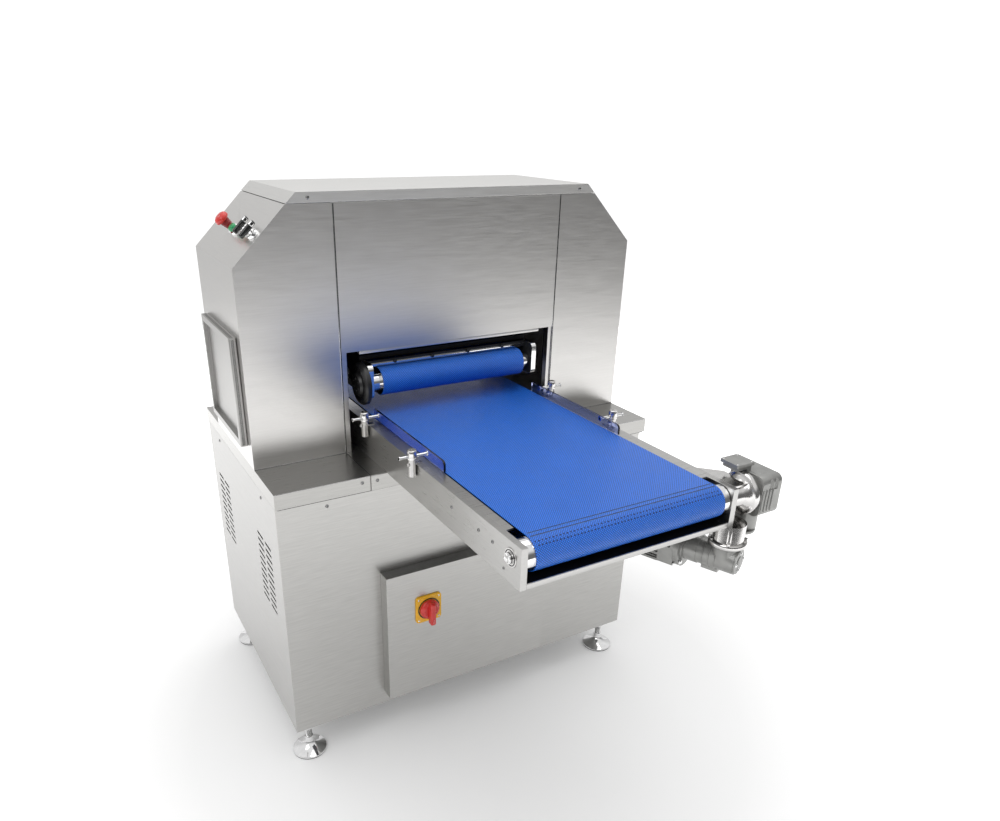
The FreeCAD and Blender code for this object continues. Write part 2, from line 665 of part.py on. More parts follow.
def upper_drive_hub():
    """The dark round drive hub on the carriage's left plate."""
    x = -UPPER_PLATE_X
    profile = [(0, 0), (60, 0), (60, 12), (54, 18), (34, 18), (30, 25), (0, 25)]
    hub = turned(profile, (x, UPPER_Y, UPPER_Z), (-1, 0, 0))
    return hub.cut(rod(14, (x - 22, UPPER_Y, UPPER_Z), (x + 1, UPPER_Y, UPPER_Z)))


# ---- needle head ----------------------------------------------------------------------
def guide_columns():
    column = rod(COLUMN_R, (-COLUMN_X, NEEDLE_Y, LEDGE_Z), (-COLUMN_X, NEEDLE_Y, LIFT_BAR_Z))
    collar = rod(COLUMN_R + 6, (-COLUMN_X, NEEDLE_Y, COLLAR_Z[0]), (-COLUMN_X, NEEDLE_Y, COLLAR_Z[1]))
    return both_sides(fuse(column, collar))


def column_bores(z_low, z_high):
    bore = rod(COLUMN_R + RUNNING, (-COLUMN_X, NEEDLE_Y, z_low), (-COLUMN_X, NEEDLE_Y, z_high))
    return bore, mirrored(bore)


def needle_bridge():
    top = BRIDGE_Z + BRIDGE_HEIGHT
    beam = box((-FRAME_X[0] + 15, FRAME_X[0] - 15), (NEEDLE_Y - 30, NEEDLE_Y + 30), (BRIDGE_Z, top))
    return cut(beam, *column_bores(BRIDGE_Z - 1, top + 1))


def needle_manifold():
    """The hollow block that feeds brine to the needles."""
    wall = 10
    block = box((-MANIFOLD_X, MANIFOLD_X), MANIFOLD_Y, (MANIFOLD_Z, BRIDGE_Z))
    return block.cut(box((-MANIFOLD_X + wall, MANIFOLD_X - wall),
                         (MANIFOLD_Y[0] + wall, MANIFOLD_Y[1] - wall),
                         (MANIFOLD_Z + wall - 1, BRIDGE_Z - wall)))


def needle_spots():
    for row in range(NEEDLE_ROWS):
        y = NEEDLE_Y + (row - (NEEDLE_ROWS - 1) / 2) * ROW_PITCH
        for i in range(NEEDLES_PER_ROW):
            yield (i - (NEEDLES_PER_ROW - 1) / 2) * NEEDLE_PITCH, y


def needles():
    length = MANIFOLD_Z - NEEDLE_TIP
    profile = [(0, 0), (0.6, 0), (NEEDLE_R, 8), (NEEDLE_R, length), (0, length)]
    return group(*[turned(profile, (x, y, NEEDLE_TIP), (0, 0, 1)) for x, y in needle_spots()])


def stripper_plate():
    """The plate that rests on the columns' collars and holds the meat down as the needles lift."""
    z = (COLLAR_Z[1] + GAP, COLLAR_Z[1] + 6)
    plate = fuse(box((-MANIFOLD_X, MANIFOLD_X), MANIFOLD_Y, z),
                 box((-345, 345), (NEEDLE_Y - 20, NEEDLE_Y + 20), z))
    plate = cut(plate, *column_bores(z[0] - 1, z[1] + 1))
    holes = [rod(STRIPPER_HOLE_R, (x, y, z[0] - 1), (x, y, z[1] + 1)) for x, y in needle_spots()]
    return plate.cut(Part.makeCompound(holes))


def lift_cylinder():
    """The air cylinder that drives the needle head, open round its rod."""
    low, high = CYLINDER_Z, LIFT_BAR_Z
    barrel = rod(32, (0, NEEDLE_Y, low), (0, NEEDLE_Y, high))
    bore = rod(PISTON_R + GAP, (0, NEEDLE_Y, low + 13), (0, NEEDLE_Y, high - 8))
    return cut(barrel, bore, rod(LIFT_ROD_R + RUNNING, (0, NEEDLE_Y, low - 1), (0, NEEDLE_Y, low + 14)))


def lift_rod():
    """The rod and piston at the top of their stroke."""
    piston = (LIFT_BAR_Z - 33.5, LIFT_BAR_Z - 21.5)
    return fuse(rod(LIFT_ROD_R, (0, NEEDLE_Y, BRIDGE_Z + BRIDGE_HEIGHT), (0, NEEDLE_Y, piston[1])),
                rod(PISTON_R, (0, NEEDLE_Y, piston[0]), (0, NEEDLE_Y, piston[1])))


# ---- brine system and electrics in the cabinet ------------------------------------------
def brine_tank():
    floor = CABINET_Z + SHEET + TUBE
    outer = box((-480, 120), (FRONT + 250, FRONT + 640), (floor, floor + 320))
    tank = outer.cut(box((-477, 117), (FRONT + 253, FRONT + 637), (floor + 3, floor + 321)))
    feet = [box((x, x + 60), (FRONT + 250, FRONT + 640), (CABINET_Z + SHEET, floor)) for x in (-440, 20)]
    return fuse(tank, *feet)


def brine_filter():
    z = CABINET_Z + SHEET + TUBE
    return rod(70, (0, FRONT + 440, z + 3), (0, FRONT + 440, z + 250))


PUMP_X, PUMP_Y, PUMP_Z = 330.0, FRONT + 430.0, CABINET_Z + SHEET
PIPE_R = 11.0
RISER = (376.0, FRONT + 500.0)


def brine_pump():
    """A foot-mounted pump: motor, volute, and an outlet on top of the volute."""
    x, y, z = PUMP_X, PUMP_Y, PUMP_Z
    foot = box((x - 120, x + 130), (y - 60, y + 60), (z, z + 12))
    stand = box((x - 60, x + 100), (y - 30, y + 30), (z + 12, z + 60))
    motor = rod(68, (x - 40, y, z + 120), (x + 150, y, z + 120))
    head = rod(85, (x - 100, y, z + 120), (x - 40, y, z + 120))
    outlet = rod(17, (x - 70, y, z + 120), (x - 70, y, z + 220))
    return fuse(foot, stand, motor, head, outlet)


def brine_pipe():
    """A rigid pipe from the pump's outlet through the ledge to the needle head's hose fitting."""
    x, y = PUMP_X - 70, PUMP_Y
    high = LEDGE_Z - 40
    corners = [(x, y, PUMP_Z + 220), (x, y, high), (RISER[0], RISER[1], high), (RISER[0], RISER[1], 1470)]
    runs = [rod(PIPE_R, a, b) for a, b in zip(corners, corners[1:])]
    elbows = [Part.makeSphere(PIPE_R, V(*corner)) for corner in corners[1:3]]
    fitting = rod(16, (RISER[0], RISER[1], 1455), (RISER[0], RISER[1], 1485))
    return fuse(*runs, *elbows, fitting)


def electrical_plate():
    """The back plate behind the door, with its modules, on two uprights from the floor."""
    y = FRONT + 150
    plate = box((-320, 260), (y, y + 3), (190, 620))
    blocks = [box((-290 + i * 62, -240 + i * 62), (y - 34, y), (440, 520)) for i in range(8)]
    strip = box((-290, 230), (y - 22, y), (250, 280))
    drive = box((-270, -110), (y - 38, y), (310, 410))
    uprights = [box((x, x + 30), (y + 3, y + 33), (CABINET_Z + SHEET, 600)) for x in (-310, 220)]
    return fuse(plate, *blocks, strip, drive, *uprights)


# ---- gear motors -------------------------------------------------------------------------
GEAR_X = 372.0
GEAR_WIDTH, DRIVE_BODY = 64.0, 104.0


def belt_drive_flange(bore=SHAFT_R + 1):
    """The polished bell and ring between the side plate and the belt's gear unit.

    A bore of 0 gives the solid envelope that neighbouring pieces are cut back to.
    """
    length = GEAR_X - PLATE_X
    profile = [(bore, 2), (30, 2), (33, 30), (45, 43), (53, 46), (55, 49), (55, length - 9), (53, length - 6),
               (48, length - 6), (48, length), (bore, length)]
    return turned(profile, (PLATE_X, HEAD_Y, AXIS_Z), (1, 0, 0))


def belt_gear_unit():
    """The right-angle gear housing of the belt drive, with four corner bosses and a round foot."""
    half = DRIVE_BODY / 2
    x0, x1 = GEAR_X, GEAR_X + GEAR_WIDTH
    body = rounded(box((x0, x1), (HEAD_Y - half, HEAD_Y + half), (AXIS_Z - half, AXIS_Z + half)), 18,
                   (1, 0, 0))
    stub = rod(29, (x0 + 20, HEAD_Y, 860), (x0 + 20, HEAD_Y, AXIS_Z - half + 4))
    bosses = [rod(9, (x1, HEAD_Y + y, AXIS_Z + z), (x1 + 7, HEAD_Y + y, AXIS_Z + z))
              for y in (-36, 36) for z in (-36, 36)]
    cap = rod(30, (x1, HEAD_Y, AXIS_Z), (x1 + 5, HEAD_Y, AXIS_Z))
    scoops = [rod(7, (x0 + at, HEAD_Y - half - 3, AXIS_Z + 18), (x0 + at, HEAD_Y - half - 3, AXIS_Z + 70))
              for at in (30, 46)]
    shaft_hole = rod(SHAFT_R + 1, (x0 - 1, HEAD_Y, AXIS_Z), (x0 + 30, HEAD_Y, AXIS_Z))
    return cut(fuse(body, stub, cap, *bosses), belt_drive_flange(0), *scoops, shaft_hole)


def terminal_box():
    """The cable box on the gear motor, with an overhanging lid."""
    x, y, z = (GEAR_X - 34, GEAR_X + 14), (HEAD_Y + 4, HEAD_Y + 50), AXIS_Z + DRIVE_BODY / 2
    body = box(x, y, (z + 5, z + 15))
    lid = rounded(box((x[0] - 6, x[1] + 5), (y[0] - 5, y[1] + 6), (z + 15, z + 23)), 4, (0, 0, 1))
    neck = box((GEAR_X, x[1]), (y[0], y[1] - 16), (z, z + 5))
    return fuse(body, lid, neck)


def drive_bracket():
    """The gusset plate level with the top of the right side plate, cut round the bell."""
    points = [(PLATE_X, FRONT - 530), (PLATE_X + 46, FRONT - 577), (PLATE_X + 46, FRONT - 658),
              (PLATE_X, FRONT - 658)]
    plate = plan_prism(points, (PLATE_TOP - RAIL_THICK, PLATE_TOP))
    neck = rod(30, (PLATE_X - 1, HEAD_Y, AXIS_Z), (PLATE_X + 3, HEAD_Y, AXIS_Z))
    return cut(plate, belt_drive_flange(0), neck)


LOWER_X, LOWER_Y, LOWER_Z = 320.0, FRONT - 650.0, 804.0
LOWER_TURN = 22.0         # the lower motor's axis is turned this far from straight back
LOWER_BORE = 14.0
RING_R, RING_Z = 47.0, (846.0, 858.0)
FINS, FIN_PITCH, FIN_THICK = 6, 17.6, 6.0
MOTOR_HALF, CORE_HALF = 49.0, 44.0


def lower_axis(distance, side=0.0, rise=0.0):
    """A point on the lower motor's axis; distance is measured towards the end cap."""
    a = math.radians(LOWER_TURN)
    return (LOWER_X + distance * math.sin(a) + side * math.cos(a),
            LOWER_Y - distance * math.cos(a) + side * math.sin(a), LOWER_Z + rise)


def lower_block(along, across, up, radius=7):
    """A rounded block aligned with the lower motor."""
    block = box((across[0], across[1]), (-along[1], -along[0]), (up[0], up[1]))
    block = rounded(block, radius, (0, 1, 0))
    block.Placement = FreeCAD.Placement(V(LOWER_X, LOWER_Y, LOWER_Z),
                                        FreeCAD.Rotation(V(0, 0, 1), LOWER_TURN))
    return block


def lower_drive_adapter():
    """The pale spigot and polished ring that hang the lower gear unit under the head corner."""
    low, high = RING_Z
    profile = [(LOWER_BORE, low), (46, low), (RING_R, low + 3), (RING_R, high - 3), (45, high), (38, high),
               (38, LEDGE_Z), (LOWER_BORE, LEDGE_Z)]
    bolts = []
    for i in range(4):
        a = math.radians(45 + 90 * i)
        x, y = LOWER_X + 41 * math.cos(a), LOWER_Y + 41 * math.sin(a)
        bolts.append(rod(4.5, (x, y, high), (x, y, high + 6)))
    return fuse(turned(profile, (LOWER_X, LOWER_Y, 0), (0, 0, 1)), *bolts)


def lower_gear_unit():
    housing = rod(35, lower_axis(-62), lower_axis(33))
    cap = rod(32, lower_axis(33), lower_axis(37))
    boss = rod(35, (LOWER_X, LOWER_Y, LOWER_Z), (LOWER_X, LOWER_Y, RING_Z[0]))
    adapter = rod(37, lower_axis(-94), lower_axis(-62))
    flange = rod(58, lower_axis(-113), lower_axis(-99))
    throat = rod(44, lower_axis(-99), lower_axis(-94))
    pad = lower_block((-50, -8), (-16, 16), (-42, -30), 3)
    spigot_bore = rod(LOWER_BORE, (LOWER_X, LOWER_Y, LOWER_Z + 20), (LOWER_X, LOWER_Y, RING_Z[0] + 1))
    return fuse(housing, cap, boss, adapter, flange, throat, pad).cut(spigot_bore)


def lower_motor():
    """A square finned motor with a plain end bell."""
    wide, narrow = (-MOTOR_HALF, MOTOR_HALF), (-CORE_HALF, CORE_HALF)
    core = lower_block((-250, -113), narrow, narrow)
    bell = lower_block((-155, -113), wide, wide)
    rear = lower_block((-262, -250), wide, wide)
    return fuse(core, bell, rear, *[fin_plate(-CORE_HALF + i * FIN_PITCH) for i in range(FINS)])


def fin_plate(level):
    plate = box((-MOTOR_HALF, MOTOR_HALF), (155, 250), (level - FIN_THICK / 2, level + FIN_THICK / 2))
    plate.Placement = FreeCAD.Placement(V(LOWER_X, LOWER_Y, LOWER_Z),
                                        FreeCAD.Rotation(V(0, 0, 1), LOWER_TURN))
    return plate


# ---- fasteners -----------------------------------------------------------------------------
SCREW_R, SCREW_HEIGHT = 5.0, 2.5
# (x, y of the sheet, z) of the pairs of screws that face the front
FRONT_SCREWS = ((375.0, FRONT - SHEET, 888.0), (332.0, FRONT - 2 * SHEET, 888.0), (477.0, FRONT, 841.0),
                (415.0, HOOD_FRONT, 1599.0))
# (y, z, radius) of the screws in the left conveyor plate
PLATE_SCREWS = ((FRONT - 376, 967, 4.5), (FRONT - 500, 967, 4.5), (FRONT - 559, 967, 4.5),
                (FRONT - 606, 927, 3.5))


def screw_heads():
    """Low button heads on the panels, ledges, roof fold and conveyor plate."""
    heads = []
    for x, y, z in FRONT_SCREWS:
        for side in (-x, x):
            heads.append(rod(SCREW_R, (side, y, z), (side, y - SCREW_HEIGHT, z)))
    for y in (FRONT + 133, FRONT + 596):
        heads.append(rod(SCREW_R, (-HALF, y, 840), (-HALF - SCREW_HEIGHT, y, 840)))
    for y, z, radius in PLATE_SCREWS:
        heads.append(rod(radius, (-PLATE_X, y, z), (-PLATE_X - 2, y, z)))
    return group(*heads)


def build():
    os.makedirs("parts", exist_ok=True)
    save("base_frame", group(base_frame(), base_floor()))
    save("base_front_panel", base_front_panel())
    save("base_left_cover", base_left_cover())
    save("base_right_cover", base_right_cover())
    save("base_rear_panel", base_rear_panel())
    pipe_hole = rod(PIPE_R + 1, (RISER[0], RISER[1], LEDGE_Z - 10), (RISER[0], RISER[1], LEDGE_Z + 1))
    save("ledge_sides", group(ledge_side(), mirrored(ledge_side()).cut(pipe_hole)))
    save("ledge_centre", ledge_centre())
    save("levelling_feet", group(*[levelling_foot(x, y) for x, y in FOOT_SPOTS]))
    save("lower_door", lower_door())
    save("switch_plate", switch_plate())
    save("switch_knob", switch_knob())

    save("hood_left_shell", hood_left_shell())
    save("hood_right_shell", mirrored(hood_shell()))
    save("hood_centre_panel", hood_centre_panel())
    save("hood_roof", hood_roof())
    save("hood_rear_panel", hood_rear_panel())
    save("hood_frame", hood_frame())
    save("mouth_trim", group(both_sides(mouth_jamb()), mouth_header()))
    save("splash_baffle", splash_baffle())
    save("left_hatch", side_hatch())
    save("right_hatch", mirrored(side_hatch()))
    save("fixed_hinges", group(door_hinges(), both_sides(hatch_hinges())))

    bezels = [button_bezel(spot) for spot in CONTROLS[1:]]
    save("control_bodies", group(e_stop_bezel(), *bezels, *[contact_block(spot) for spot in CONTROLS]))
    save("e_stop_stem", e_stop_stem())
    save("e_stop_head", e_stop_head())
    save("start_button", start_button())
    save("selector_1", selector_knob(SELECTOR_1))
    save("selector_2", selector_knob(SELECTOR_2))

    save("conveyor_side_plates", both_sides(group(side_plate(), top_rail())))
    bearings = group(pulley_bearing(HEAD_Y), pulley_bearing(TAIL_Y))
    save("pulley_bearings", both_sides(bearings))
    save("head_pulley", pulley(HEAD_Y, -PLATE_X - 8, GEAR_X + 26))
    save("tail_pulley", pulley(TAIL_Y, -PLATE_X - 8, PLATE_X + 8))
    save("conveyor_belt", conveyor_belt())
    save("conveyor_bed", group(slider_bed(), drip_tray()))
    save("guide_left", guide_strip())
    save("guide_right", mirrored(guide_strip()))
    save("guide_pins_left", guide_pins())
    save("guide_pins_right", mirrored(guide_pins()))
    save("guide_posts", both_sides(group(*[guide_post(y) for y in POST_YS])))

    save("hold_down_carriage", group(hold_down_plates(), scraper_bar()))
    save("hold_down_belt", hold_down_belt())
    save("upper_front_roller", upper_roller(UPPER_Y, -UPPER_PLATE_X - 18))
    save("upper_rear_roller", upper_roller(UPPER_BACK_Y, -UPPER_PLATE_X - 4))
    save("upper_drive_hub", upper_drive_hub())

    save("guide_columns", guide_columns())
    save("needle_bridge", group(needle_bridge(), needle_manifold()))
    save("needles", needles())
    save("stripper_plate", stripper_plate())
    save("lift_cylinder", lift_cylinder())
    save("lift_rod", lift_rod())

    save("brine_tank", group(brine_tank(), brine_filter()))
    save("brine_pump", brine_pump())
    save("brine_pipe", brine_pipe())
    save("electrical_plate", electrical_plate())

    save("drive_mounts", group(belt_drive_flange(), lower_drive_adapter(), drive_bracket()))
    save("belt_gear_unit", belt_gear_unit())
    save("terminal_box", terminal_box())
    save("lower_gear_unit", lower_gear_unit())
    save("lower_motor", lower_motor())
    save("screw_heads", screw_heads())


build()
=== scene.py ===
"""Looks for the through-feed meat injector round its CAD frame. Metres, +Z up, infeed towards -Y."""

import json
import math

import bpy
import bmesh
from mathutils import Matrix, Vector


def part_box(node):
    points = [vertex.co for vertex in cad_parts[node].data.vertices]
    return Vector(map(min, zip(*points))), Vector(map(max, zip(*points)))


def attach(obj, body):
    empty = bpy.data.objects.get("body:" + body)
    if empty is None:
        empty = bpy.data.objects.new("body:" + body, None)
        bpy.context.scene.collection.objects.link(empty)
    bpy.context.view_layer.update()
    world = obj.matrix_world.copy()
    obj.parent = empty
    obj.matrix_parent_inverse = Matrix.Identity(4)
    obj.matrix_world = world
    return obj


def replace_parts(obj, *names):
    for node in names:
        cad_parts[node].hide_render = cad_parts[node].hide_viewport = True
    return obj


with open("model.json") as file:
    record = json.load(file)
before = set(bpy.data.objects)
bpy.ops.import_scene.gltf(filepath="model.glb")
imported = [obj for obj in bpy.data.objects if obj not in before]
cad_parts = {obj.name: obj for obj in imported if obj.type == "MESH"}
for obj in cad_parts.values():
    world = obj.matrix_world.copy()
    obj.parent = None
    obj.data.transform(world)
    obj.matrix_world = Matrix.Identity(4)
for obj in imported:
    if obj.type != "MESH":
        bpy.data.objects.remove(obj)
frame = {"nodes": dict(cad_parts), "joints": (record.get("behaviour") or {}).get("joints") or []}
NODES = frame["nodes"]
JOINTS = {joint["name"]: joint for joint in frame["joints"]}
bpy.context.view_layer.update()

MM = 0.001
SMOOTH_ANGLE = math.radians(35)
shift = Matrix.Translation


def mm(*values):
    """Millimetres as a tuple of metres."""
    return tuple(value * MM for value in values)


def mm_points(*pairs):
    """Points given in millimetres as a list of points in metres."""
    return [mm(*pair) for pair in pairs]


# ---- places read from the frame ------------------------------------------------------------------
def low(node):
    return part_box(node)[0]


def high(node):
    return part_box(node)[1]


def middle(node):
    return (low(node) + high(node)) / 2


def joint_point(name):
    return Vector(JOINTS[name]["pos_m"])


def joint_axis(name):
    return Vector(JOINTS[name]["axis"])


HOOD_FRONT = low("hood_centre_panel").y
CABINET_FRONT = low("base_front_panel").y
HEAD_AXIS, TAIL_AXIS = joint_point("head_pulley_spin"), joint_point("tail_pulley_spin")
UPPER_AXIS, UPPER_BACK_AXIS = joint_point("upper_front_roller_spin"), joint_point("upper_rear_roller_spin")
SHOULDER_OUT = -joint_axis("start_push")
SLOPE_UP = Vector((-SHOULDER_OUT.x, 0, SHOULDER_OUT.z)).normalized()


# ---- camera, world, lights, floor ----------------------------------------------------------------
def make_camera():
    data = bpy.data.cameras.new("camera")
    data.sensor_width = 36
    data.lens = 27.87
    data.shift_x, data.shift_y = 0.0321, 0.0723
    data.clip_start, data.clip_end = 0.05, 60
    camera = bpy.data.objects.new("camera", data)
    bpy.context.scene.collection.objects.link(camera)
    yaw, pitch, roll = math.radians(-29.88), math.radians(25.19), math.radians(1.0)
    turn = Matrix.Rotation(yaw, 4, "Z") @ Matrix.Rotation(math.pi / 2 - pitch, 4, "X")
    turn = turn @ Matrix.Rotation(roll, 4, "Z")
    camera.matrix_world = shift((-1.067, CABINET_FRONT - 1.777, 1.780)) @ turn
    bpy.context.scene.camera = camera


def make_world():
    """A white studio whose far front side is dimmer, so that steel has something to reflect."""
    world = bpy.data.worlds.new("studio")
    bpy.context.scene.world = world
    world.use_nodes = True
    world.node_tree.nodes.clear()
    studio = Nodes(world.node_tree)
    parts = studio.node("ShaderNodeSeparateXYZ")
    studio.link(studio.node("ShaderNodeTexCoord").outputs["Generated"], parts.inputs[0])
    front = studio.ranged(parts.outputs["Y"], -0.70, 0.45, 1.0, 0.35, smooth=True)
    level = studio.ranged(studio.math("ABSOLUTE", parts.outputs["Z"]), 0.12, 0.70, 1.0, 0.0, smooth=True)
    shade = studio.ranged(studio.math("MULTIPLY", front, level), 0.0, 1.0, 1.0, 0.19, smooth=True)
    glow = studio.node("ShaderNodeBackground")
    studio.link(shade, glow.inputs["Color"])
    glow.inputs["Strength"].default_value = 0.92
    backdrop = studio.node("ShaderNodeBackground")
    backdrop.inputs["Color"].default_value = (1, 1, 1, 1)
    backdrop.inputs["Strength"].default_value = 1.1
    mix = studio.node("ShaderNodeMixShader")
    studio.link(studio.node("ShaderNodeLightPath").outputs["Is Camera Ray"], mix.inputs[0])
    studio.link(glow.outputs[0], mix.inputs[1])
    studio.link(backdrop.outputs[0], mix.inputs[2])
    studio.link(mix.outputs[0], studio.node("ShaderNodeOutputWorld").inputs["Surface"])


def area_light(name, at, target, size, power):
    data = bpy.data.lights.new(name, "AREA")
    data.shape = "RECTANGLE"
    data.size, data.size_y = size
    data.energy = power
    light = bpy.data.objects.new(name, data)
    bpy.context.scene.collection.objects.link(light)
    light.location = at
    light.rotation_euler = (Vector(target) - Vector(at)).to_track_quat("-Z", "Y").to_euler()


FLOOR_RADIUS = 5.5


def make_floor():
    """A pale disc that glows to white at its rim, so it meets the backdrop without a line."""
    mesh = bpy.data.meshes.new("studio_floor")
    build = bmesh.new()
    bmesh.ops.create_circle(build, cap_ends=True, radius=FLOOR_RADIUS, segments=96)
    build.to_mesh(mesh)
    build.free()
    floor = bpy.data.objects.new("studio_floor", mesh)
    bpy.context.scene.collection.objects.link(floor)
    floor.location.z = -0.0005
    skin = Skin("studio_floor", (0.86, 0.86, 0.86), roughness=0.7)
    skin.set("Specular IOR Level", 0.2)
    away = skin.node("ShaderNodeVectorMath", operation="LENGTH")
    skin.link(skin.coords, away.inputs[0])
    fade = skin.ranged(away.outputs["Value"], 0.9, 3.4, 0.12, 1.0)
    skin.link(fade, skin.bsdf.inputs["Emission Strength"])
    skin.set("Emission Color", (1, 1, 1, 1))
    mesh.materials.append(skin.material)


# ---- materials -----------------------------------------------------------------------------------
class Nodes:
    """Short ways to add nodes to one tree."""

    def __init__(self, tree):
        self.tree = tree

    def node(self, kind, **settings):
        node = self.tree.nodes.new(kind)
        for name, value in settings.items():
            setattr(node, name, value)
        return node

    def link(self, output, socket):
        self.tree.links.new(output, socket)

    def ranged(self, value, from_low, from_high, to_low, to_high, smooth=False):
        node = self.node("ShaderNodeMapRange", interpolation_type="SMOOTHSTEP" if smooth else "LINEAR")
        for name, number in (("From Min", from_low), ("From Max", from_high), ("To Min", to_low),
                             ("To Max", to_high)):
            node.inputs[name].default_value = number
        self.link(value, node.inputs["Value"])
        return node.outputs["Result"]

    def math(self, operation, *values):
        node = self.node("ShaderNodeMath", operation=operation)
        for socket, value in zip(node.inputs, values):
            if isinstance(value, (int, float)):
                socket.default_value = value
            else:
                self.link(value, socket)
        return node.outputs[0]


class Skin(Nodes):
    """A procedural material whose textures follow the piece's own metres."""

    def __init__(self, name, color, metallic=0.0, roughness=0.5):
        self.material = bpy.data.materials.new(name)
        self.material.use_nodes = True
        super().__init__(self.material.node_tree)
        self.bsdf = self.tree.nodes["Principled BSDF"]
        self.color = color
        self.rough = roughness
        self.set("Base Color", (*color, 1))
        self.set("Metallic", metallic)
        self.set("Roughness", roughness)
        self.coords = self.node("ShaderNodeTexCoord").outputs["Object"]

    def set(self, socket, value):
        self.bsdf.inputs[socket].default_value = value

    def noise(self, stretch, detail=2.0, rough=0.5, warp=0.0):
        """Noise whose features repeat about stretch times a metre along each axis."""
        scale = self.node("ShaderNodeMapping")
        scale.inputs["Scale"].default_value = stretch
        self.link(self.coords, scale.inputs["Vector"])
        node = self.node("ShaderNodeTexNoise")
        node.inputs["Scale"].default_value = 1.0
        node.inputs["Detail"].default_value = detail
        node.inputs["Roughness"].default_value = rough
        node.inputs["Distortion"].default_value = warp
        self.link(scale.outputs[0], node.inputs["Vector"])
        return node.outputs["Fac"]

    def vary_color(self, factor, dark, light, spread=(0.3, 0.7)):
        """Base colour from dark to light times the skin's colour."""
        ramp = self.node("ShaderNodeMix", data_type="RGBA")
        sockets = [s for s in ramp.inputs if s.type == "RGBA"]
        sockets[0].default_value = (*[c * dark for c in self.color], 1)
        sockets[1].default_value = (*[min(1, c * light) for c in self.color], 1)
        self.link(self.ranged(factor, *spread, 0, 1), ramp.inputs["Factor"])
        self.link([s for s in ramp.outputs if s.type == "RGBA"][0], self.bsdf.inputs["Base Color"])

    def vary_roughness(self, factor, spread):
        self.link(self.ranged(factor, 0.3, 0.7, self.rough - spread, self.rough + spread),
                  self.bsdf.inputs["Roughness"])

    def bump(self, *layers):
        """Stack (height, strength, distance in metres) layers into the normal."""
        normal = None
        for height, strength, distance in layers:
            node = self.node("ShaderNodeBump")
            node.inputs["Strength"].default_value = strength
            node.inputs["Distance"].default_value = distance
            self.link(height, node.inputs["Height"])
            if normal is not None:
                self.link(normal, node.inputs["Normal"])
            normal = node.outputs["Normal"]
        self.link(normal, self.bsdf.inputs["Normal"])


def brushed_steel(name, color, roughness, wave=1.0, grain=1.0):
    """Brushed sheet: fine streaks along X, or along Y on faces that look sideways, and slight waves."""
    skin = Skin(name, color, 1.0, roughness)
    facing = skin.node("ShaderNodeSeparateXYZ")
    skin.link(skin.node("ShaderNodeTexCoord").outputs["Normal"], facing.inputs[0])
    sideways = skin.math("GREATER_THAN", skin.math("ABSOLUTE", facing.outputs["X"]), 0.5)

    def directed(along, across, detail, rough=0.5, warp=0.0):
        front = skin.noise((along, across, across), detail, rough, warp)
        side = skin.noise((across, along, across), detail, rough, warp)
        mix = skin.node("ShaderNodeMix", data_type="FLOAT")
        skin.link(sideways, mix.inputs["Factor"])
        skin.link(front, mix.inputs[2])
        skin.link(side, mix.inputs[3])
        return mix.outputs[0]

    streak = directed(13, 260, 3.0, 0.6)
    sheet = directed(5, 34, 2.0, warp=0.4)
    skin.vary_color(streak, 1 - 0.07 * grain, 1 + 0.06 * grain)
    skin.vary_roughness(streak, 0.035)
    skin.bump((sheet, 0.16 * wave, 0.0016), (streak, 0.16 * grain, 0.00022))
    return skin.material


def polished_steel(name, color, roughness):
    skin = Skin(name, color, 1.0, roughness)
    haze = skin.noise((30, 90, 90), detail=3.0)
    skin.vary_roughness(haze, 0.035)
    skin.vary_color(haze, 0.93, 1.03)
    skin.bump((skin.noise((6, 9, 9)), 0.12, 0.001))
    return skin.material


EMBOSS_PITCH = 6 * MM


def belt_rubber():
    """Coated food belt: a lattice of small raised diamonds laid out along the belt's UVs, painted lighter on
    their tops and darker in their grooves as painted light and shade.
    """
    skin = Skin("belt_blue", (0.014, 0.125, 0.56), roughness=0.34)
    skin.set("Specular IOR Level", 0.45)
    across = skin.node("ShaderNodeSeparateXYZ")
    skin.link(skin.node("ShaderNodeTexCoord").outputs["UV"], across.inputs[0])
    u = skin.math("DIVIDE", across.outputs["X"], EMBOSS_PITCH)
    v = skin.math("DIVIDE", across.outputs["Y"], EMBOSS_PITCH)

    def off_centre(value):
        return skin.math("ABSOLUTE", skin.math("SUBTRACT", skin.math("FRACT", value), 0.5))

    rim = skin.math("MAXIMUM", off_centre(skin.math("ADD", u, v)), off_centre(skin.math("SUBTRACT", u, v)))
    diamond = skin.ranged(rim, 0.20, 0.48, 1.0, 0.0)
    scuff = skin.noise((14, 9, 14), detail=4.0, rough=0.6)
    # painted light and shade: diamond tops lighter, grooves darker, mixed with a little scuff wear
    relief_light_and_scuff = skin.math("ADD", skin.math("MULTIPLY", diamond, 0.85), skin.math("MULTIPLY", scuff, 0.15))
    skin.vary_color(relief_light_and_scuff, 0.30, 1.80, (0.05, 0.95))
    skin.vary_roughness(scuff, 0.04)
    skin.bump((diamond, 0.8, 0.0007))
    return skin.material


def cast_metal(name, color, roughness=0.42, metallic=0.55):
    """Painted or blasted casting: orange-peel skin, with soft random patches a little darker and lighter."""
    skin = Skin(name, color, metallic, roughness)
    peel = skin.noise((260, 260, 260), detail=3.0)
    cloud = skin.noise((26, 26, 26), detail=2.0)
    skin.vary_color(cloud, 0.88, 1.08)
    skin.vary_roughness(peel, 0.07)
    skin.bump((peel, 0.25, 0.0004))
    return skin.material


def moulded(name, color, roughness=0.35, coat=0.0):
    """Moulded plastic with a very fine texture."""
    skin = Skin(name, color, 0.0, roughness)
    skin.set("Coat Weight", coat)
    skin.set("Coat Roughness", 0.1)
    grain = skin.noise((900, 900, 900), detail=1.0)
    cloud = skin.noise((60, 60, 60), detail=2.0)
    skin.vary_color(cloud, 0.92, 1.06)
    skin.vary_roughness(grain, 0.04)
    skin.bump((grain, 0.1, 0.0001))
    return skin.material


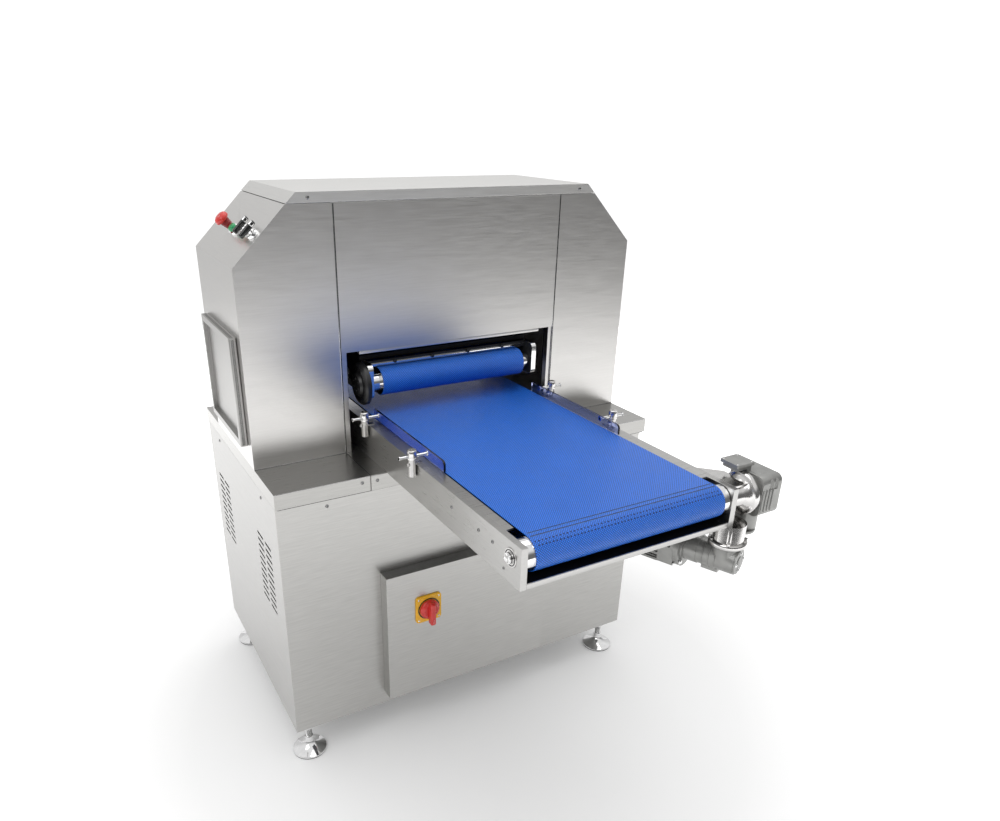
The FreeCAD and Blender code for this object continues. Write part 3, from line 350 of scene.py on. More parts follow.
def clear_plastic():
    skin = Skin("clear_guide", (0.46, 0.52, 0.84), roughness=0.04)
    skin.set("Transmission Weight", 1.0)
    skin.set("IOR", 1.40)
    skin.set("Specular IOR Level", 0.3)
    swirl = skin.noise((18, 12, 18), detail=2.0)
    skin.vary_roughness(swirl, 0.02)
    skin.bump((swirl, 0.05, 0.0005))
    return skin.material


MATERIALS = {
    "brushed": brushed_steel("brushed_steel", (0.62, 0.61, 0.595), 0.31, wave=0.8, grain=0.55),
    "cabinet": brushed_steel("brushed_cabinet", (0.505, 0.50, 0.485), 0.34, wave=0.9, grain=1.1),
    "ledge": brushed_steel("brushed_ledge", (0.44, 0.435, 0.42), 0.30, wave=0.5),
    "roof": brushed_steel("brushed_roof", (0.66, 0.655, 0.64), 0.42, wave=0.4, grain=0.5),
    "side": brushed_steel("satin_side", (0.53, 0.525, 0.515), 0.44, wave=0.5, grain=0.9),
    # painted shade: a darker copy of the side steel for the shade in the hatches' recessed panels
    "hatch": brushed_steel("satin_hatch_painted_shade", (0.44, 0.435, 0.425), 0.42, wave=0.4, grain=0.7),
    "plate": brushed_steel("satin_plate", (0.49, 0.485, 0.475), 0.30, wave=0.3, grain=0.8),
    "polished": polished_steel("polished_steel", (0.62, 0.61, 0.60), 0.15),
    "chrome": polished_steel("chrome", (0.78, 0.78, 0.78), 0.08),
    "screw": polished_steel("screw_steel", (0.28, 0.28, 0.28), 0.25),
    "frame": brushed_steel("frame_steel", (0.42, 0.42, 0.41), 0.4),
    # painted shade: the drip tray steel is near black so the inside under the belt reads as shadowed
    "tray": brushed_steel("shaded_tray", (0.10, 0.10, 0.105), 0.45),
    # painted shade: near black for parts inside the hood, so that its inside reads as shadowed
    "dark": cast_metal("painted_shade_black", (0.010, 0.010, 0.011), 0.65, 0.0),
    "belt": belt_rubber(),
    # painted shade: near-black discs stand for the shade inside the belt's perforations
    "belt_dark": moulded("belt_perforation", (0.003, 0.016, 0.10), 0.6),
    "belt_light": moulded("belt_ridge", (0.16, 0.40, 0.85), 0.35),
    "motor": cast_metal("cast_grey", (0.30, 0.30, 0.29), 0.36),
    # painted shade: near-black discs for the shade in the lower motor's openings
    "motor_painted_shade": cast_metal("cast_painted_shade", (0.05, 0.05, 0.05), 0.5, 0.3),
    "black": moulded("black_plastic", (0.012, 0.012, 0.013), 0.35),
    "black_gloss": moulded("black_gloss", (0.008, 0.008, 0.009), 0.18, 0.3),
    "red": moulded("red_plastic", (0.60, 0.030, 0.025), 0.3, 0.2),
    "dark_red": moulded("red_neck", (0.25, 0.01, 0.01), 0.4),
    "green": moulded("green_plastic", (0.02, 0.30, 0.11), 0.3, 0.2),
    "yellow": moulded("yellow_plastic", (0.80, 0.44, 0.02), 0.4),
    "white": moulded("white_polymer", (0.80, 0.80, 0.78), 0.4),
    "module": moulded("module_grey", (0.30, 0.32, 0.35), 0.45),
    "pump": cast_metal("pump_paint", (0.05, 0.12, 0.22), 0.35, 0.1),
    "clear": clear_plastic(),
}

NODE_SKINS = {
    "brushed": ["hood_left_shell", "hood_right_shell", "hood_centre_panel", "hood_rear_panel", "mouth_trim"],
    "cabinet": ["base_front_panel", "lower_door", "base_rear_panel"],
    "ledge": ["ledge_sides", "ledge_centre"],
    "roof": ["hood_roof"],
    "side": ["base_left_cover", "base_right_cover"],
    "hatch": ["left_hatch", "right_hatch"],
    "plate": ["conveyor_side_plates"],
    "tray": ["conveyor_bed"],
    "polished": ["pulley_bearings", "guide_columns", "guide_posts",
                 "drive_mounts", "needles", "lift_rod", "levelling_feet"],
    "chrome": ["head_pulley", "tail_pulley", "upper_front_roller", "upper_rear_roller", "guide_pins_left",
               "guide_pins_right"],
    "frame": ["base_frame", "fixed_hinges", "needle_bridge", "lift_cylinder", "brine_tank", "brine_pipe"],
    "screw": ["screw_heads"],
    # painted shade: these inside parts are near black so the hood's inside reads as shadowed
    "dark": ["hood_frame", "splash_baffle", "hold_down_carriage"],
    "belt": ["conveyor_belt", "hold_down_belt"],
    "motor": ["belt_gear_unit", "terminal_box", "lower_gear_unit", "lower_motor"],
    "black": ["control_bodies", "selector_1", "selector_2", "upper_drive_hub"],
    "red": ["e_stop_stem", "e_stop_head", "switch_knob"],
    "green": ["start_button"],
    "yellow": ["switch_plate"],
    "white": ["stripper_plate"],
    "module": ["electrical_plate"],
    "pump": ["brine_pump"],
    "clear": ["guide_left", "guide_right"],
}
SOFT_EDGES = {"brushed": 0.6, "hatch": 0.6, "cabinet": 0.7, "ledge": 0.7, "roof": 0.7, "side": 0.6,
              "plate": 0.7, "polished": 0.5, "dark": 0.6, "motor": 1.6, "frame": 0.6, "yellow": 1.2,
              "module": 1.0, "clear": 1.0, "pump": 1.5, "black": 0.8}


def dress_nodes():
    """Give every CAD node its material, and soften its sharp edges with modifiers."""
    for skin, names in NODE_SKINS.items():
        for name in names:
            if name not in NODES:
                continue
            node = NODES[name]
            if not node.material_slots:
                node.data.materials.append(MATERIALS[skin])
            for slot in node.material_slots:
                slot.material = MATERIALS[skin]
            if skin in SOFT_EDGES:
                soften(node, SOFT_EDGES[skin] * MM)


def soften(obj, width):
    weld = obj.modifiers.new("weld", "WELD")
    weld.merge_threshold = 0.00002
    bevel = obj.modifiers.new("edge", "BEVEL")
    bevel.width = width
    bevel.segments = 2
    bevel.limit_method = "ANGLE"
    bevel.angle_limit = SMOOTH_ANGLE
    bevel.use_clamp_overlap = True
    bevel.harden_normals = False


# ---- mesh helpers --------------------------------------------------------------------------------
def finish_piece(name, mesh_data, skins, body, bevel=0.0, smooth=True):
    """Make an object from a bmesh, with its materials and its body."""
    mesh = bpy.data.meshes.new(name)
    bmesh.ops.recalc_face_normals(mesh_data, faces=mesh_data.faces)
    mesh_data.to_mesh(mesh)
    mesh_data.free()
    obj = bpy.data.objects.new(name, mesh)
    bpy.context.scene.collection.objects.link(obj)
    for skin in skins:
        mesh.materials.append(MATERIALS[skin])
    if smooth:
        shade_by_angle(mesh)
    if bevel:
        modifier = obj.modifiers.new("edge", "BEVEL")
        modifier.width = bevel
        modifier.segments = 2
        modifier.limit_method = "ANGLE"
        modifier.angle_limit = SMOOTH_ANGLE
    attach(obj, body)
    return obj


def shade_by_angle(mesh, angle=SMOOTH_ANGLE):
    mesh.shade_smooth()
    mesh.set_sharp_from_angle(angle=angle)


def frame_at(origin, axis, side=None):
    """A matrix whose Z is axis; side fixes the direction of its X."""
    z = Vector(axis).normalized()
    hint = Vector(side) if side is not None else (Vector((0, 0, 1)) if abs(z.z) < 0.9 else Vector((1, 0, 0)))
    x = (hint - z * hint.dot(z)).normalized()
    y = z.cross(x)
    turn = Matrix((x, y, z)).transposed().to_4x4()
    return Matrix.Translation(origin) @ turn


def lathe(build, profile, place, segments=48, skin=0, shape=None):
    """Revolve (radius, height) points about place's Z. shape(angle, radius) may bend a ring."""
    rings = []
    for index, (radius, height) in enumerate(profile):
        if radius < 1e-7:
            rings.append([build.verts.new(place @ Vector((0, 0, height)))])
            continue
        ring = []
        for i in range(segments):
            a = 2 * math.pi * i / segments
            r = shape(a, radius, index) if shape else radius
            ring.append(build.verts.new(place @ Vector((r * math.cos(a), r * math.sin(a), height))))
        rings.append(ring)
    for lower, upper in zip(rings, rings[1:]):
        for i in range(segments):
            j = (i + 1) % segments
            corners = [lower[i % len(lower)], lower[j % len(lower)], upper[j % len(upper)],
                       upper[i % len(upper)]]
            corners = list(dict.fromkeys(corners))
            if len(corners) > 2:
                face = build.faces.new(corners)
                face.material_index = skin


def block(build, size, place, skin=0, rounding=0.0, segments=3):
    """A box centred on place, with rounded edges."""
    made = bmesh.ops.create_cube(build, size=1.0)
    verts = made["verts"]
    for vert in verts:
        vert.co = Vector([vert.co[i] * size[i] for i in range(3)])
    faces = list(dict.fromkeys(face for vert in verts for face in vert.link_faces))
    if rounding:
        edges = list(dict.fromkeys(edge for vert in verts for edge in vert.link_edges))
        done = bmesh.ops.bevel(build, geom=edges, offset=rounding, segments=segments, affect="EDGES",
                               profile=0.5)
        faces = done["faces"] + [face for face in faces if face.is_valid]
        verts = list(dict.fromkeys(vert for face in faces for vert in face.verts))
    for vert in verts:
        vert.co = place @ vert.co
    for face in faces:
        face.material_index = skin
    return verts


def outline_plate(build, points, depth, place, skin=0):
    """Push a flat outline (x, y) along place's Z by depth."""
    base = [build.verts.new(place @ Vector((x, y, 0))) for x, y in points]
    top = [build.verts.new(place @ Vector((x, y, depth))) for x, y in points]
    faces = [build.faces.new(base[::-1]), build.faces.new(top)]
    for i in range(len(points)):
        j = (i + 1) % len(points)
        faces.append(build.faces.new([base[i], base[j], top[j], top[i]]))
    for face in faces:
        face.material_index = skin


def rounded_outline(width, height, radius, steps=6):
    points = []
    for cx, cy, start in ((1, 1, 0), (-1, 1, 90), (-1, -1, 180), (1, -1, 270)):
        for i in range(steps + 1):
            a = math.radians(start + 90 * i / steps)
            points.append((cx * (width / 2 - radius) + radius * math.cos(a),
                           cy * (height / 2 - radius) + radius * math.sin(a)))
    return points


def hexagon(angle, flat):
    """Radius of a hexagon with that half width across flats, at an angle."""
    return flat / math.cos((angle % (math.pi / 3)) - math.pi / 6)


def hexagonal(*rings, scale=1.0):
    """A lathe shape that makes the numbered rings hexagonal."""
    return lambda angle, radius, index: hexagon(angle, radius * scale) if index in rings else radius


def button_screw(build, at, axis, radius=5 * MM, skin=0):
    """A dome-headed screw with a hexagon socket."""
    r = radius
    profile = [(r, -0.1 * r), (r, 0.12 * r), (0.93 * r, 0.28 * r), (0.75 * r, 0.42 * r),
               (0.56 * r, 0.50 * r), (0.50 * r, 0.50 * r), (0.48 * r, 0.12 * r), (0, 0.10 * r)]
    lathe(build, profile, frame_at(at, axis), 24, skin, hexagonal(5, 6, scale=0.9))


def hex_bolt(build, at, axis, flat=5 * MM, height=4 * MM, skin=0, washer=True):
    """A hexagon head on a washer."""
    place = frame_at(at, axis)
    base = 0.0
    if washer:
        w = flat * 1.55
        lathe(build, [(0, 0), (w, 0), (w, 1.0 * MM), (w - 0.3 * MM, 1.2 * MM), (0, 1.2 * MM)], place, 24,
              skin)
        base = 1.2 * MM
    profile = [(0, base), (flat, base), (flat, base + height * 0.85), (flat * 0.86, base + height),
               (flat * 0.5, base + height), (0, base + height)]
    lathe(build, profile, place, 24, skin, hexagonal(1, 2))


# ---- belts ---------------------------------------------------------------------------------------
class BeltPath:
    """The outside of a belt round two parallel pulleys: distance along it to point and normal."""

    def __init__(self, front, back, radius):
        self.front, self.back, self.radius = front, back, radius
        self.run = back.y - front.y
        self.turn = math.pi * radius
        self.length = 2 * (self.run + self.turn)

    def at(self, s, lift=0.0):
        """s starts at the top of the front pulley and runs back along the top."""
        s = s % self.length
        r = self.radius + lift
        if s < self.run:
            return Vector((0, self.front.y + s, self.front.z + r)), Vector((0, 0, 1))
        s -= self.run
        if s < self.turn:
            a = math.pi / 2 - s / self.radius
            normal = Vector((0, math.cos(a), math.sin(a)))
            return Vector((0, self.back.y, self.back.z)) + normal * r, normal
        s -= self.turn
        if s < self.run:
            return Vector((0, self.back.y - s, self.back.z - r)), Vector((0, 0, -1))
        s -= self.run
        a = -math.pi / 2 - s / self.radius
        normal = Vector((0, math.cos(a), math.sin(a)))
        return Vector((0, self.front.y, self.front.z)) + normal * r, normal


def belt_stations(path, step_turn=math.radians(5)):
    """Distances along the belt where its body needs a cross section."""
    turn_steps = int(math.pi / step_turn)
    stations = [path.run * i / 12 for i in range(12)]
    stations += [path.run + path.turn * i / turn_steps for i in range(turn_steps)]
    stations += [path.run + path.turn + path.run * i / 12 for i in range(12)]
    stations += [2 * path.run + path.turn + path.turn * i / turn_steps for i in range(turn_steps)]
    return stations


def embossed_belt(name, node, body, front, back):
    """A closed belt with UVs in metres, stretched a hair along it so that the emboss joins up."""
    half = (high(node).x - low(node).x) / 2
    path = BeltPath(front, back, (high(node).z - low(node).z) / 2)
    stretch = round(path.length / EMBOSS_PITCH) * EMBOSS_PITCH / path.length
    build = bmesh.new()
    layout = build.loops.layers.uv.new("belt")
    edge = 0.5 * MM
    section = [(-half, -BELT_THICKNESS + edge), (-half + edge, -BELT_THICKNESS),
               (half - edge, -BELT_THICKNESS), (half, -BELT_THICKNESS + edge), (half, -edge),
               (half - edge, 0), (-half + edge, 0), (-half, -edge)]
    stations = belt_stations(path)
    rings = []
    for s in stations:
        rings.append([build.verts.new((x, *path.at(s, lift)[0].yz)) for x, lift in section])
    lengths = stations + [path.length]
    for index, (ring, following) in enumerate(zip(rings, rings[1:] + rings[:1])):
        for i in range(len(section)):
            j = (i + 1) % len(section)
            face = build.faces.new([ring[i], ring[j], following[j], following[i]])
            for loop, x, s in zip(face.loops, (section[i][0], section[j][0], section[j][0], section[i][0]),
                                  (lengths[index], lengths[index], lengths[index + 1], lengths[index + 1])):
                loop[layout].uv = (x + 1, s * stretch)
    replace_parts(finish_piece(name, build, ["belt"], body), node)
    return path, half


DOT_PITCH = 9 * MM
DOT_ROWS = (-20 * MM, -30 * MM)
RIDGES = (10 * MM, -4 * MM)


def belt_joint(name, body, path, half):
    """The belt's joint at the head pulley: two pale ridges and two rows of perforations drawn as near-black
    discs, painted shade in the holes.
    """
    build = bmesh.new()
    count = int(2 * half / DOT_PITCH) - 1
    for row, offset in enumerate(DOT_ROWS):
        point, normal = path.at(offset, 0.0)
        for i in range(count):
            x = (i + 0.5 * (row % 2) + 0.25 - count / 2) * DOT_PITCH
            place = frame_at((x, point.y, point.z), normal, (1, 0, 0))
            lathe(build, mm_points((0, -0.4), (2.1, -0.4), (2.1, 0.1), (0, 0.15)), place, 12, 0)
    for offset in RIDGES:
        point, normal = path.at(offset, 0.0)
        place = frame_at((0, point.y, point.z), normal, (1, 0, 0))
        block(build, (2 * half - 8 * MM, 4 * MM, 0.8 * MM), place, 1, 0.3 * MM, 2)
    finish_piece(name, build, ["belt_dark", "belt_light"], body)


BELT_THICKNESS = 2.2 * MM


def make_belts():
    path, half = embossed_belt("infeed_belt", "conveyor_belt", "machine", HEAD_AXIS, TAIL_AXIS)
    belt_joint("infeed_belt_joint", "machine", path, half)
    embossed_belt("hold_down_belt_skin", "hold_down_belt", "hold_down", UPPER_AXIS, UPPER_BACK_AXIS)


# ---- fasteners -----------------------------------------------------------------------------------
def make_panel_screws():
    """Button screws where the CAD has its plain heads."""
    build = bmesh.new()
    node = NODES["screw_heads"]
    islands = loose_boxes(node)
    for a, b in islands:
        centre, size = (a + b) / 2, b - a
        axis = min(range(3), key=lambda i: size[i])
        out = Vector((0, 0, 0))
        out[axis] = -1
        seat = centre.copy()
        seat[axis] = b[axis]
        button_screw(build, seat, out, max(size) / 2)
    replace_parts(finish_piece("panel_screws", build, ["screw"], "machine"), "screw_heads")


def loose_boxes(node):
    """(low, high) of each separate solid in a node, found by grouping its connected vertices."""
    build = bmesh.new()
    build.from_mesh(node.data)
    bmesh.ops.remove_doubles(build, verts=build.verts, dist=0.00002)
    seen, boxes = set(), []
    for start in build.verts:
        if start in seen:
            continue
        stack, island = [start], []
        seen.add(start)
        while stack:
            vert = stack.pop()
            island.append(vert.co.copy())
            for edge in vert.link_edges:
                other = edge.other_vert(vert)
                if other not in seen:
                    seen.add(other)
                    stack.append(other)
        xs = [[co[i] for co in island] for i in range(3)]
        boxes.append((Vector([min(v) for v in xs]), Vector([max(v) for v in xs])))
    build.free()
    return boxes


# ---- feet ----------------------------------------------------------------------------------------
def nut_shape(angle, radius, index):
    """A lock nut's rings: a hexagon whose corners are turned off."""
    return min(hexagon(angle, radius * 0.9), radius) if 0 < index < 5 else radius


def make_feet():
    """Polished cone feet: a domed pad with a dark rubber sole, a threaded stem and two lock nuts."""
    build = bmesh.new()
    for a, b in loose_boxes(NODES["levelling_feet"]):
        centre, top, r = (a + b) / 2, b.z, (b.x - a.x) / 2
        place = frame_at((centre.x, centre.y, 0), (0, 0, 1), (1, 0, 0))
        lathe(build, [(0, 0), (r - 1.5 * MM, 0), (r - 1.5 * MM, 3 * MM), (0, 3 * MM)], place, 64, 1)
        cone = [(0, 2.9 * MM), (r - 0.8 * MM, 2.9 * MM), (r, 3.6 * MM), (r, 5.5 * MM),
                (r - 1 * MM, 7.5 * MM), (r - 4 * MM, 9 * MM), (r * 0.72, 14 * MM), (r * 0.52, 20.5 * MM),
                (r * 0.38, 27 * MM), (15 * MM, 33 * MM), (13.5 * MM, 36 * MM), (13.5 * MM, 50 * MM),
                (12.5 * MM, 52 * MM), (0, 52 * MM)]
        lathe(build, cone, place, 64, 0)
        thread = mm_points((0, 50))
        z = 51 * MM
        while z < top - 2.5 * MM:
            thread += [(9.0 * MM, z), (10.2 * MM, z + 0.9 * MM), (10.2 * MM, z + 1.3 * MM),
                       (9.0 * MM, z + 2.2 * MM)]
            z += 2.5 * MM
        thread += [(9.0 * MM, top), (0, top)]
        lathe(build, thread, place, 32, 0)
        for base, tall in ((84 * MM, 13 * MM), (101 * MM, 12 * MM)):
            profile = [(10 * MM, base), (15.6 * MM, base), (16.8 * MM, base + 1 * MM),
                       (16.8 * MM, base + tall - 1 * MM), (15.6 * MM, base + tall), (10 * MM, base + tall)]
            lathe(build, profile, place, 24, 0, nut_shape)
        lathe(build, [(10 * MM, top - 3.5 * MM), (21 * MM, top - 3.5 * MM), (22 * MM, top - 2.8 * MM),
                      (22 * MM, top), (10 * MM, top)], place, 32, 0)
    feet = finish_piece("polished_feet", build, ["chrome", "black"], "machine")
    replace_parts(feet, "levelling_feet")


# ---- main switch ---------------------------------------------------------------------------------
def knurled(angle, radius, index):
    """The hand wheel's rim: 24 shallow flutes."""
    return radius * (1 - 0.012 * (math.cos(24 * angle) > 0.2)) if index in (2, 3) else radius


def make_switch():
    """A red hand wheel with a raised grip on a yellow plate with four screws."""
    a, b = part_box("switch_knob")
    pa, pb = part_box("switch_plate")
    axis_point = joint_point("main_switch_turn")
    face = pa.y
    out = Vector((0, -1, 0))
    place = frame_at((axis_point.x, face, axis_point.z), out, (0, 0, 1))
    build = bmesh.new()
    r = (b.x - a.x) / 2
    lathe(build, [(0, 0.6 * MM), (r - 1 * MM, 0.6 * MM), (r, 1.6 * MM), (r, 9 * MM),
                  (r - 1.5 * MM, 11 * MM), (r - 4 * MM, 12 * MM), (r - 6 * MM, 13.5 * MM),
                  (r - 9 * MM, 16 * MM), (0, 16 * MM)], place, 64, 0, knurled)
    grip_top, grip_low = b.z - axis_point.z, a.z - axis_point.z
    grip = frame_at((axis_point.x, face - 22 * MM, axis_point.z + (grip_top + grip_low) / 2), out, (0, 0, 1))
    block(build, (grip_top - grip_low, 17 * MM, 23 * MM), grip, 0, 5 * MM, 5)
    pointer = frame_at((axis_point.x, face - 33.9 * MM, a.z + 12 * MM), out, (0, 0, 1))
    block(build, mm(13, 2.4, 0.6), pointer, 1, 0.2 * MM, 1)
    knob = finish_piece("switch_wheel", build, ["red", "white"], "switch_knob")
    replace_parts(knob, "switch_knob")

    build = bmesh.new()
    width, height = pb.x - pa.x, pb.z - pa.z
    centre = middle("switch_plate")
    back = frame_at((centre.x, pb.y, centre.z), out, (1, 0, 0))
    outline_plate(build, rounded_outline(width, height, 11 * MM), 4.5 * MM, back, 0)
    outline_plate(build, rounded_outline(width - 4 * MM, height - 4 * MM, 9.5 * MM), 1.4 * MM,
                  back @ shift(mm(0, 0, 4.5)), 0)
    lathe(build, [(r + 4.5 * MM, 5.8 * MM), (r + 4.5 * MM, 6.6 * MM), (r + 1 * MM, 6.6 * MM),
                  (r + 1 * MM, 5.8 * MM)], back @ shift((0, axis_point.z - centre.z, 0)), 64, 1)
    for sx in (-1, 1):
        for sz in (-1, 1):
            spot = Vector((centre.x + sx * (width / 2 - 9 * MM), pa.y + 0.2 * MM,
                           centre.z + sz * (height / 2 - 9 * MM)))
            button_screw(build, spot, out, 3 * MM, 2)
    plate = finish_piece("switch_backplate", build, ["yellow", "black", "chrome"], "lower_door",
                         bevel=0.5 * MM)
    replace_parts(plate, "switch_plate")


# ---- controls on the shoulder --------------------------------------------------------------------
def shoulder_place(joint):
    return frame_at(joint_point(joint), SHOULDER_OUT, SLOPE_UP)


def start_place():
    """The start button's centre on the shoulder, from its CAD box."""
    centre = middle("start_button")
    anchor = joint_point("selector_1_turn")
    offset = (anchor - centre).dot(SHOULDER_OUT)
    point = centre + SHOULDER_OUT * offset
    return frame_at(point, SHOULDER_OUT, SLOPE_UP)


def stop_place():
    return shoulder_place("e_stop_twist")


def make_controls():
    stop = stop_place()
    build = bmesh.new()
    head = mm_points((0, 30.6), (14.5, 30.6), (18.8, 33), (20, 35.5), (20, 39), (19, 42.5), (16, 46),
                     (11, 48.6), (5, 49.8), (0, 50))
    lathe(build, head, stop, 64)
    for i in range(3):
        a = math.radians(120 * i + 20)
        spot = stop @ Matrix.Rotation(a, 4, "Z") @ shift(mm(10.5, 0, 48.7))
        block(build, mm(2.2, 7, 0.7), spot @ Matrix.Rotation(math.radians(20), 4, "Y"), 1, 0.3 * MM, 1)
    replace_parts(finish_piece("e_stop_mushroom", build, ["red", "white"], "e_stop_head"),
                "e_stop_head")

    build = bmesh.new()
    lathe(build, mm_points((0, -24), (8.8, -24), (8.8, 9), (10.5, 10), (9.3, 12), (11.5, 14), (10.4, 16.5),
                           (12.6, 19), (11.4, 22), (13, 25), (13, 29.8), (4.8, 30), (4.8, 37), (0, 37)),
          stop, 48)
    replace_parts(finish_piece("e_stop_neck", build, ["dark_red"], "e_stop_stem"),
                "e_stop_stem")

    start = start_place()
    build = bmesh.new()
    lathe(build, mm_points((0, -20), (8.8, -20), (8.8, 12), (11.4, 12.2), (11.4, 19.6), (10.6, 21),
                           (9, 21.8), (7.5, 21.2), (0, 20.9)), start, 48)
    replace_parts(finish_piece("start_cap", build, ["green"], "start_button"), "start_button")

    for number in (1, 2):
        place = shoulder_place(f"selector_{number}_turn")
        build = bmesh.new()
        lathe(build, mm_points((0, -20), (8.8, -20), (8.8, 9.6), (11.6, 9.8), (12, 11), (12, 15),
                               (11, 16.2), (0, 16.4)), place, 48, 1)
        lever = place @ shift(mm(0, 0, 22))
        block(build, mm(51.5, 10.6, 13.6), lever, 0, 4.2 * MM, 5)
        cap = place @ shift(mm(17, 0, 22.3))
        block(build, mm(16, 11.0, 13.8), cap, 1, 4.3 * MM, 5)
        knob = finish_piece(f"selector_lever_{number}", build, ["black_gloss", "chrome"],
                            f"selector_{number}")
        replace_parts(knob, f"selector_{number}")

    build = bmesh.new()
    for place, tall in ((stop, 4 * MM), (start, 9 * MM), (shoulder_place("selector_1_turn"), 9 * MM),
                        (shoulder_place("selector_2_turn"), 9 * MM)):
        lathe(build, [(9.4 * MM, 0), (16.4 * MM, 0), (16.4 * MM, 1.2 * MM), (15.6 * MM, 1.8 * MM),
                      (15.2 * MM, tall * 0.75), (14.4 * MM, tall), (11.5 * MM, tall),
                      (9.4 * MM, tall - 1.2 * MM)], place, 48, 1)
        lathe(build, mm_points((0, -44), (14.5, -44), (14.5, -26), (13, -25), (13, -3), (10.6, -3),
                               (10.6, -40), (0, -40)), place, 32, 0)
        for side in (-1, 1):
            block(build, mm(9, 20, 12), place @ shift((side * 9 * MM, 0, -37.5 * MM)), 0, 1 * MM, 2)
    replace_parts(finish_piece("control_bezels", build, ["black", "chrome"], "machine"),
                "control_bodies")


# ---- guides and clamps ---------------------------------------------------------------------------
def make_clamps():
    """Grub screws and collars on the guide posts, and flat pads on the cross pins."""
    build = bmesh.new()
    for a, b in loose_boxes(NODES["guide_posts"]):
        side = -1 if a.x < 0 else 1
        x = a.x + 12 * MM if side < 0 else b.x - 12 * MM
        y = (a.y + b.y) / 2
        place = frame_at((x, y, b.z), (0, 0, 1), (1, 0, 0))
        lathe(build, mm_points((0, 0), (11.4, 0), (11.4, 1.6), (10, 2.8), (4.2, 2.8), (3.8, 0.8), (0, 0.6)),
              place, 40, 0, hexagonal(4, 5, scale=0.9))
        lathe(build, mm_points((12, -21.5), (12.8, -21), (12.8, -18), (12, -17.5)), place, 40, 0)
        slot_place = frame_at((x + side * 9.7 * MM, y, b.z - 36 * MM), (side, 0, 0), (0, 0, 1))
        hex_bolt(build, slot_place.translation, (side, 0, 0), 4 * MM, 3 * MM, 0)
    finish_piece("clamp_caps", build, ["polished"], "machine")
    for side, body in (("left", "left_guide"), ("right", "right_guide")):
        build = bmesh.new()
        sign = -1 if side == "left" else 1
        for a, b in loose_boxes(NODES[f"guide_pins_{side}"]):
            outer = a.x if sign < 0 else b.x
            inner = b.x if sign < 0 else a.x
            y, z = (a.y + b.y) / 2, (a.z + b.z) / 2
            place = frame_at((outer, y, z), (sign, 0, 0))
            lathe(build, mm_points((0, -2.6), (5.2, -2.6), (5.6, -2.2), (5.6, -0.6), (5.0, 0), (0, 0)),
                  place, 32)
            lathe(build, mm_points((3.9, 0.2), (7, 0.2), (7, 2.4), (6.4, 3), (3.9, 3)),
                  frame_at((inner, y, z), (sign, 0, 0)), 32)
        finish_piece(f"guide_knobs_{side}", build, ["chrome"], body)


# ---- drives --------------------------------------------------------------------------------------
def make_belt_drive():
    """Ribs, cover bolts, plugs, a gland and a blank plate on the belt drive."""
    a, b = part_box("belt_gear_unit")
    axis = HEAD_AXIS
    x0, x1 = a.x, b.x
    half = 52 * MM
    body_high = axis.z + half
    build = bmesh.new()
    for y in (-36, 36):
        for z in (-36, 36):
            hex_bolt(build, (x1 - 5 * MM, axis.y + y * MM, axis.z + z * MM), (1, 0, 0), 5.5 * MM, 4.4 * MM,
                     1)
    lathe(build, mm_points((0, 0), (24, 0), (24, 1.6), (22, 2.6), (10, 2.6), (8, 1.2), (0, 1.2)),
          frame_at((x1 - 7 * MM, axis.y, axis.z), (1, 0, 0)), 48, 0)
    for i in range(4):
        x = x0 + (14 + 11 * i) * MM
        for side in (-1, 1):
            place = frame_at((x, axis.y + side * (half - 1 * MM), axis.z - 8 * MM), (0, side, 0), (0, 0, 1))
            block(build, mm(58, 3.4, 7), place, 0, 1.4 * MM, 3)
    for i in range(6):
        a2 = math.radians(30 + 60 * i)
        spot = Vector((x0 - 9.4 * MM, axis.y + 43 * MM * math.cos(a2), axis.z + 43 * MM * math.sin(a2)))
        hex_bolt(build, spot, (-1, 0, 0), 4 * MM, 3.4 * MM, 1)
    stub_x = x0 + 20 * MM
    lathe(build, mm_points((29, 0), (33, 0), (34, 1), (34, 6), (33, 7), (29, 7)),
          frame_at((stub_x, axis.y, a.z), (0, 0, 1)), 48, 0)
    for i in range(4):
        a2 = math.radians(45 + 90 * i)
        button_screw(build, (stub_x + 24 * MM * math.cos(a2), axis.y + 24 * MM * math.sin(a2), a.z),
                     (0, 0, -1), 3 * MM, 1)
    lathe(build, mm_points((0, 0), (5, 0), (5, 5), (3, 8), (0, 8)),
          frame_at((x0 + 50 * MM, axis.y + 34 * MM, body_high - 1 * MM), (0, 0, 1)), 24, 1)
    plate = frame_at((x0 + 34 * MM, axis.y - 12 * MM, body_high), (0, 0, 1), (1, 0, 0))
    block(build, mm(34, 20, 0.8), plate, 1, 0.2 * MM, 1)
    finish_piece("belt_drive_details", build, ["motor", "chrome"], "machine", bevel=0.3 * MM)

    ta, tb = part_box("terminal_box")
    build = bmesh.new()
    for x in (ta.x + 6 * MM, tb.x - 6 * MM):
        for y in (ta.y + 6 * MM, tb.y - 6 * MM):
            button_screw(build, (x, y, tb.z - 0.2 * MM), (0, 0, 1), 2.6 * MM, 1)
    gland_at = Vector(((ta.x + tb.x) / 2, tb.y - 6 * MM, ta.z + 11 * MM))
    lathe(build, mm_points((0, 0), (6, 0), (6, 4), (4.6, 5), (4.6, 10), (0, 10)),
          frame_at(gland_at, (0, 1, 0)), 24, 0, hexagonal(1, 2, scale=0.92))
    finish_piece("terminal_box_details", build, ["black", "chrome"], "machine")


LOWER_TURN = math.radians(22)  # the lower motor points this far to the left of straight back
LOWER_START_X, LOWER_START_AHEAD = mm(320, 650)


